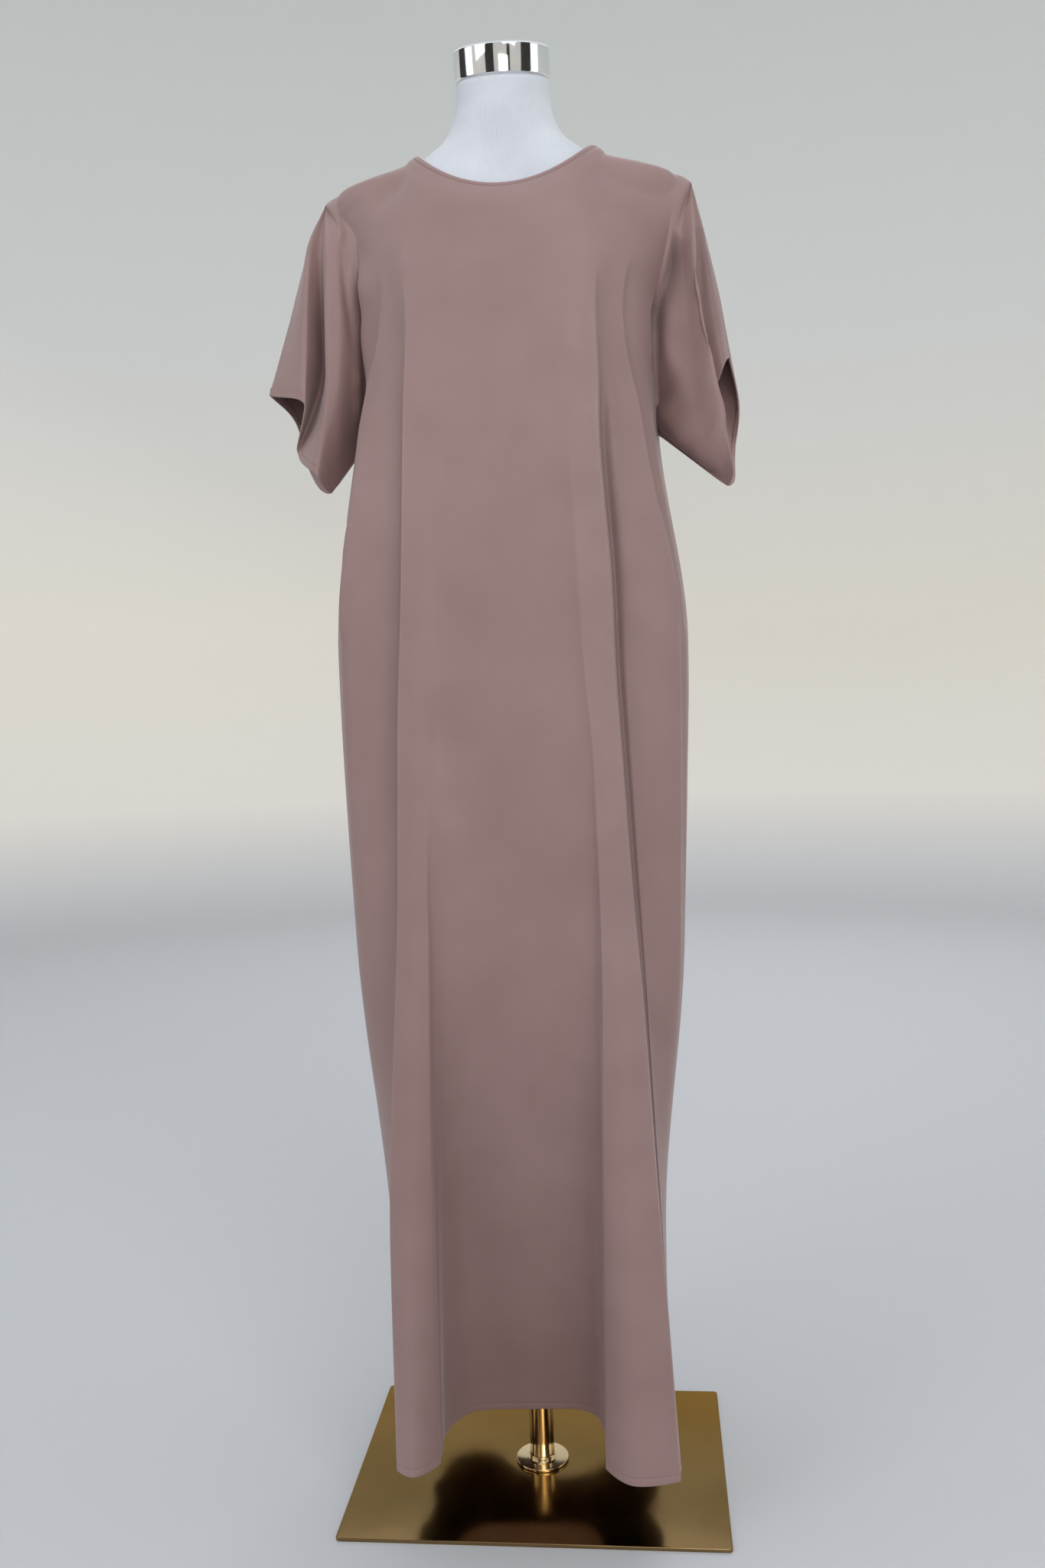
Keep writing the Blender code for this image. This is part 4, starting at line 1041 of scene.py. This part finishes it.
def crepe(name, low, high):
    made, tree, shader, place = new_material(name)
    # The cloth's colour is darkened by the painted shade in fold hollows and lightened by the painted highlight on fold
    # edges
    deep = add(tree, "ShaderNodeAttribute")
    deep.attribute_name = "painted_crease_shade"
    shaded = add(
        tree,
        "ShaderNodeHueSaturation",
        Color=ramp(tree, noise(tree, place, 9.0, 3.0, 0.6), low, high),
        Value=calculate(tree, "MULTIPLY_ADD", deep.outputs["Fac"], -PAINTED_CREASE_SHADE, 1.0),
    )
    fill(
        tree,
        shader,
        Base_Color=shaded.outputs["Color"],
        Roughness=ramp(tree, noise(tree, place, 30.0), 0.50, 0.60),
        Sheen_Weight=0.22,
        Sheen_Roughness=0.45,
        Sheen_Tint=(0.95, 0.85, 0.86, 1.0),
        Specular_IOR_Level=0.42,
    )
    soft = noise(tree, place, 16.0, 3.0, 0.55, (1.0, 1.0, 0.35))
    bumps(tree, shader, (soft, 0.35, 0.004), (noise(tree, place, 1500.0, 2.0, 0.6), 0.35, 0.0002))
    return made


# Radians of the cover's rib wave for each radian round the form, so this many ribs
RIBS = 150.0


def cover():
    made, tree, shader, place = new_material("ribbed_cover")
    parts = add(tree, "ShaderNodeSeparateXYZ", Vector=place).outputs
    turn = calculate(tree, "ARCTAN2", parts["Y"], parts["X"])
    ribs = calculate(tree, "SINE", calculate(tree, "MULTIPLY", turn, RIBS))
    tone = ramp(tree, noise(tree, place, 14.0), (0.49, 0.515, 0.575), (0.57, 0.595, 0.65))
    fill(tree, shader, Base_Color=tone, Roughness=0.8, Sheen_Weight=0.15)
    bumps(tree, shader, (ribs, 0.5, 0.0003), (noise(tree, place, 900.0), 0.3, 0.0002))
    return made


def metal(name, low, high, rough, scale, **inputs):
    made, tree, shader, place = new_material(name)
    tone = ramp(tree, noise(tree, place, scale, 3.0), low, high)
    smudge = ramp(tree, noise(tree, place, scale * 2.5, 4.0, 0.6), *rough)
    fill(tree, shader, Base_Color=tone, Roughness=smudge, Metallic=1.0, **inputs)
    return made


CREPE = crepe("crepe_cloth", (0.226, 0.141, 0.133), (0.258, 0.165, 0.157))
THREAD_MATERIAL = crepe("crepe_thread", (0.21, 0.135, 0.135), (0.26, 0.17, 0.17))
COVER = cover()
CHROME = metal("cap_chrome", (0.78, 0.79, 0.81), (0.84, 0.85, 0.87), (0.05, 0.11), 12.0)
GOLD = metal("pole_gold", (0.80, 0.64, 0.40), (0.88, 0.71, 0.45), (0.12, 0.20), 20.0)
BRONZE = metal(
    "plate_bronze_gold",
    (0.25, 0.165, 0.075),
    (0.31, 0.205, 0.095),
    (0.12, 0.20),
    9.0,
    Specular_Tint=(0.80, 0.62, 0.38, 1.0),
)


# The dress form's cover, with a top that leans with the cap
FORM_SIDES = 144
FORM_PITCH = 0.006
CAP_TILT = math.radians(15.0)
CAP_FROM = 1.447

levels = np.linspace(FORM_SECTIONS[0][0], FORM_TOP, round((FORM_TOP - FORM_SECTIONS[0][0]) / FORM_PITCH) + 1)
angle = 2 * np.pi * np.arange(FORM_SIDES) / FORM_SIDES
c, s = np.cos(angle), np.sin(angle)
points = []
for level, (half, front, behind, power) in zip(levels, from_table(FORM_SECTIONS, levels)):
    x = half * np.sign(c) * np.abs(c) ** (2 / power)
    y = np.where(s > 0, behind, front) * np.sign(s) * np.abs(s) ** (2 / power)
    lean = max((level - CAP_FROM) / (FORM_TOP - CAP_FROM), 0.0) * math.tan(CAP_TILT)
    points.append(np.column_stack((x, y, level + lean * y)))
form = mesh_piece("form_cover", np.concatenate(points), ring_faces(len(levels), FORM_SIDES))


# The cap, pole, flange and plate
def named(name):
    made = bpy.context.active_object
    made.name = made.data.name = name
    return made


def cylinder(name, sides, radius, low, height):
    bpy.ops.object.select_all(action="DESELECT")
    bpy.ops.mesh.primitive_cylinder_add(
        vertices=sides, radius=radius, depth=height, location=(0.0, 0.0, low + height / 2)
    )
    return named(name)


def settle_piece(made, edge, segments):
    """Rounds the piece's edges and leaves it at the origin, unturned and unscaled."""
    bpy.ops.object.mode_set(mode="OBJECT")
    bpy.ops.object.transform_apply(location=True, rotation=True, scale=True)
    rounding = made.modifiers.new("edge", "BEVEL")
    rounding.width = edge
    rounding.segments = segments
    rounding.limit_method = "ANGLE"
    rounding.angle_limit = math.radians(30.0)
    bpy.ops.object.modifier_apply(modifier="edge")
    bpy.ops.object.shade_smooth_by_angle(angle=math.radians(35.0))


def pick_top(made):
    """Selects the piece's highest face in edit mode."""
    bpy.ops.object.mode_set(mode="EDIT")
    bpy.ops.mesh.select_mode(type="FACE")
    bpy.ops.mesh.select_all(action="DESELECT")
    work = bmesh.from_edit_mesh(made.data)
    top = max(work.faces, key=lambda face: face.calc_center_median().z + face.normal.z)
    top.select = True
    bmesh.update_edit_mesh(made.data)


def raise_top(height, size):
    bpy.ops.mesh.extrude_region_move(TRANSFORM_OT_translate={"value": (0.0, 0.0, height)})
    bpy.ops.transform.resize(value=(size, size, 1.0))


PLATE_WIDTH = 0.400
PLATE_DEPTH = 0.300
PLATE_THICKNESS = 0.004
PLATE_CORNER = 0.004
FLANGE_RADIUS = 0.0288
FLANGE_HEIGHT = 0.0030
COLLAR_RADIUS = 0.0150
COLLAR_HEIGHT = 0.0050
POLE_RADIUS = 0.0135
# The pole's head: a short cone, then a disc under the form
POLE_CONE_RADIUS = 0.0165
POLE_CONE_HEIGHT = 0.014
POLE_HEAD_RADIUS = 0.032
POLE_HEAD_HEIGHT = 0.006
CAP_RADIUS = 0.0500
CAP_HEIGHT = 0.0300
CAP_EDGE = 0.0028
SEAT_GAP = 0.0003
METAL_EDGE = 0.0006

bpy.ops.object.select_all(action="DESELECT")
bpy.ops.mesh.primitive_cube_add(size=1.0, location=(0.0, 0.0, PLATE_THICKNESS / 2))
plate = named("plate_slab")
bpy.ops.object.mode_set(mode="EDIT")
bpy.ops.mesh.select_all(action="SELECT")
bpy.ops.transform.resize(value=(PLATE_WIDTH, PLATE_DEPTH, PLATE_THICKNESS))
bpy.ops.mesh.select_mode(type="EDGE")
bpy.ops.mesh.select_all(action="DESELECT")
work = bmesh.from_edit_mesh(plate.data)
for line in work.edges:
    line.select = abs(line.verts[0].co.z - line.verts[1].co.z) > PLATE_THICKNESS / 2
bmesh.update_edit_mesh(plate.data)
bpy.ops.mesh.bevel(offset=PLATE_CORNER, segments=8)
settle_piece(plate, METAL_EDGE, 3)

flange_from = PLATE_THICKNESS + SEAT_GAP
flange = cylinder("flange_disc", 96, FLANGE_RADIUS, flange_from, FLANGE_HEIGHT)
pick_top(flange)
bpy.ops.mesh.inset(thickness=FLANGE_RADIUS - COLLAR_RADIUS)
raise_top(COLLAR_HEIGHT, 1.0)
settle_piece(flange, METAL_EDGE, 3)

pole_from = flange_from + FLANGE_HEIGHT + COLLAR_HEIGHT + SEAT_GAP
pole_to = FORM_SECTIONS[0][0] - SEAT_GAP - (POLE_CONE_HEIGHT + POLE_HEAD_HEIGHT)
pole = cylinder("pole_tube", 64, POLE_RADIUS, pole_from, pole_to - pole_from)
pick_top(pole)
raise_top(POLE_CONE_HEIGHT, POLE_CONE_RADIUS / POLE_RADIUS)
raise_top(0.0, POLE_HEAD_RADIUS / POLE_CONE_RADIUS)
raise_top(POLE_HEAD_HEIGHT, 1.0)
settle_piece(pole, METAL_EDGE, 2)

cap = cylinder("neck_cap_shell", 128, CAP_RADIUS, 0.0, CAP_HEIGHT)
bpy.ops.object.transform_apply(location=True, rotation=True, scale=True)
lean = Matrix.Rotation(CAP_TILT, 4, "X")
cap.rotation_euler = lean.to_euler()
cap.location = Vector((0.0, 0.0, FORM_TOP)) + lean @ Vector((0.0, 0.0, SEAT_GAP))
settle_piece(cap, CAP_EDGE, 6)

for piece, material, node, slot in (
    (front_cloth, CREPE, "dress_front", "crepe"),
    (back_cloth, CREPE, "dress_back", "crepe"),
    (binding, CREPE, "neck_binding", "crepe"),
    (form, COVER, "dress_form", "cover"),
    (cap, CHROME, "neck_cap", "chrome"),
    (pole, GOLD, "pole", "gold"),
    (flange, GOLD, "base_flange", "gold"),
    (plate, BRONZE, "base_plate", "bronze_gold"),
    (hem_stitches, THREAD_MATERIAL, None, "crepe"),
    (sleeve_stitches[0], THREAD_MATERIAL, None, "crepe"),
    (sleeve_stitches[1], THREAD_MATERIAL, None, "crepe"),
    (binding_stitches, THREAD_MATERIAL, None, "crepe"),
):
    piece.data.materials.clear()
    piece.data.materials.append(material)
    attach(piece, "root")
    if node:
        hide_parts(node)


# Studio: a cove whose colour changes with height, from floor to wall: darkest and bluish on the floor, creamiest
# at about 1.2 m up, greyer towards the top
COVE_FLOOR = 3.8
COVE_ROUND = 1.2
COVE_STEPS = 12
COVE_SIDES = 96
COVE_WALL = (2.5, 4.5)
COLOUR_RAMP_HEIGHT = 4.0
FLOOR_TONE = (0.44, 0.455, 0.48)
WALL_TONE = (0.64, 0.66, 0.64)
STUDIO_TONES = (
    (0.02, (0.50, 0.51, 0.53)),
    (0.10, (0.76, 0.73, 0.68)),
    (0.30, (0.88, 0.83, 0.74)),
    (0.60, (0.76, 0.76, 0.74)),
)


def studio_height_colour():
    made, tree, shader, place = new_material("studio_height_colour")
    height = add(tree, "ShaderNodeSeparateXYZ", Vector=place).outputs["Z"]
    tone = add(tree, "ShaderNodeValToRGB", Fac=calculate(tree, "DIVIDE", height, COLOUR_RAMP_HEIGHT))
    for element, colour in zip(tone.color_ramp.elements, (FLOOR_TONE, WALL_TONE)):
        element.color = (*colour, 1.0)
    for at, colour in STUDIO_TONES:
        tone.color_ramp.elements.new(at).color = (*colour, 1.0)
    fill(tree, shader, Base_Color=tone.outputs["Color"], Roughness=0.85)
    return made


profile = [(0.001, 0.0), (0.5, 0.0), (2.0, 0.0), (COVE_FLOOR, 0.0)]
for k in range(1, COVE_STEPS + 1):
    angle = math.pi / 2 * k / COVE_STEPS
    profile.append((COVE_FLOOR + COVE_ROUND * math.sin(angle), COVE_ROUND - COVE_ROUND * math.cos(angle)))
profile += [(COVE_FLOOR + COVE_ROUND, z) for z in COVE_WALL]
turns = [2 * math.pi * k / COVE_SIDES for k in range(COVE_SIDES)]
points = [(r * math.cos(turn), r * math.sin(turn), z) for r, z in profile for turn in turns]
faces = [face[::-1] for face in ring_faces(len(profile), COVE_SIDES, capped=False)]
cove = mesh_piece("studio_cove", points, faces, recalculate=False)
cove.data.materials.append(studio_height_colour())

# Tall dark screens for the polished metal to reflect, seen by glossy rays alone: turn in degrees from the front,
# and width
BOARD_FROM = 3.6
BOARD_LOW = 0.02
BOARD_HIGH = 4.0
BOARDS = ((-98, 1.6), (-23, 1.3), (21, 0.45), (64, 1.7))
board_paint, tree, shader, place = new_material("dark_board")
tone = ramp(tree, noise(tree, place, 3.0), (0.020, 0.018, 0.016), (0.035, 0.030, 0.026))
fill(tree, shader, Base_Color=tone, Roughness=0.8)
for k, (turn, width) in enumerate(BOARDS):
    bpy.ops.object.select_all(action="DESELECT")
    bpy.ops.mesh.primitive_plane_add(size=1.0, location=(0.0, 0.0, 0.0))
    board = named("board_%d" % (k + 1))
    way = Vector((math.sin(math.radians(turn)), -math.cos(math.radians(turn)), 0.0))
    side = Vector((-way.y, way.x, 0.0)) * width / 2
    corners = [(edge, z) for z in (BOARD_LOW, BOARD_HIGH) for edge in (-1, 1)]
    for point, (edge, z) in zip(board.data.vertices, corners):
        point.co = way * BOARD_FROM + side * edge + Vector((0.0, 0.0, z))
    board.data.materials.append(board_paint)
    board.visible_camera = board.visible_diffuse = board.visible_shadow = False

WARM = (1.0, 0.985, 0.97)
# Area lights: name, place, what they aim at, size, power and colour
LIGHTS = (
    ("key", (1.2, -2.8, 2.5), (0.0, 0.0, 0.95), (1.6, 1.6), 45.0, WARM),
    ("second", (-2.2, -2.3, 2.3), (0.0, 0.0, 0.95), (1.4, 1.6), 24.0, (0.97, 0.985, 1.0)),
    ("low", (0.5, -3.2, 0.8), (0.0, 0.0, 0.35), (1.2, 1.0), 9.0, WARM),
    ("left", (-3.2, -0.8, 1.9), (0.0, 0.0, 0.9), (1.2, 2.0), 8.0, (0.88, 0.93, 1.0)),
    ("right", (3.2, -0.2, 1.8), (0.0, 0.0, 0.8), (1.2, 2.0), 8.0, (0.90, 0.95, 1.0)),
    ("back", (0.5, 3.0, 3.2), (0.0, 0.6, 0.9), (2.4, 1.6), 55.0, (1.0, 0.99, 0.96)),
)
for name, place, aim, size, power, colour in LIGHTS:
    data = bpy.data.lights.new(name, "AREA")
    data.shape = "RECTANGLE"
    data.size, data.size_y = size
    data.energy = power
    data.color = colour
    light = linked(name, data)
    light.location = place
    light.rotation_euler = (Vector(aim) - Vector(place)).to_track_quat("-Z", "Y").to_euler()
    light.visible_camera = False
    light.visible_glossy = name != "back"

scene = bpy.context.scene
scene.view_settings.view_transform = "Standard"
scene.world = bpy.data.worlds.new("studio_air")
scene.world.use_nodes = True
air = scene.world.node_tree.nodes["Background"].inputs
air["Color"].default_value = (0.93, 0.96, 1.0, 1.0)
air["Strength"].default_value = 0.9

# Camera: the photo's own viewing angle, fitted in the photo's 1365 by 2048 frame
FOCAL_PIXELS = 1740.1
PHOTO_HEIGHT = 2048
SENSOR_HEIGHT = 36.0
CAMERA_PLACE = (0.132, -1.424, 0.85)
YAW = math.radians(-5.32)
PITCH = math.radians(-3.76)
ROLL = math.radians(-1.68)
forward = Vector((math.sin(YAW) * math.cos(PITCH), math.cos(YAW) * math.cos(PITCH), math.sin(PITCH)))
level_right = Vector((math.cos(YAW), -math.sin(YAW), 0.0))
level_up = level_right.cross(forward)
right = level_right * math.cos(ROLL) + level_up * math.sin(ROLL)
up = level_up * math.cos(ROLL) - level_right * math.sin(ROLL)
data = bpy.data.cameras.new("camera")
data.sensor_fit = "VERTICAL"
data.sensor_height = SENSOR_HEIGHT
data.lens = FOCAL_PIXELS / PHOTO_HEIGHT * SENSOR_HEIGHT
camera = linked("camera", data)
camera.matrix_world = Matrix((*zip(right, up, -forward, CAMERA_PLACE), (0.0, 0.0, 0.0, 1.0)))
scene.camera = camera

bpy.context.view_layer.update()
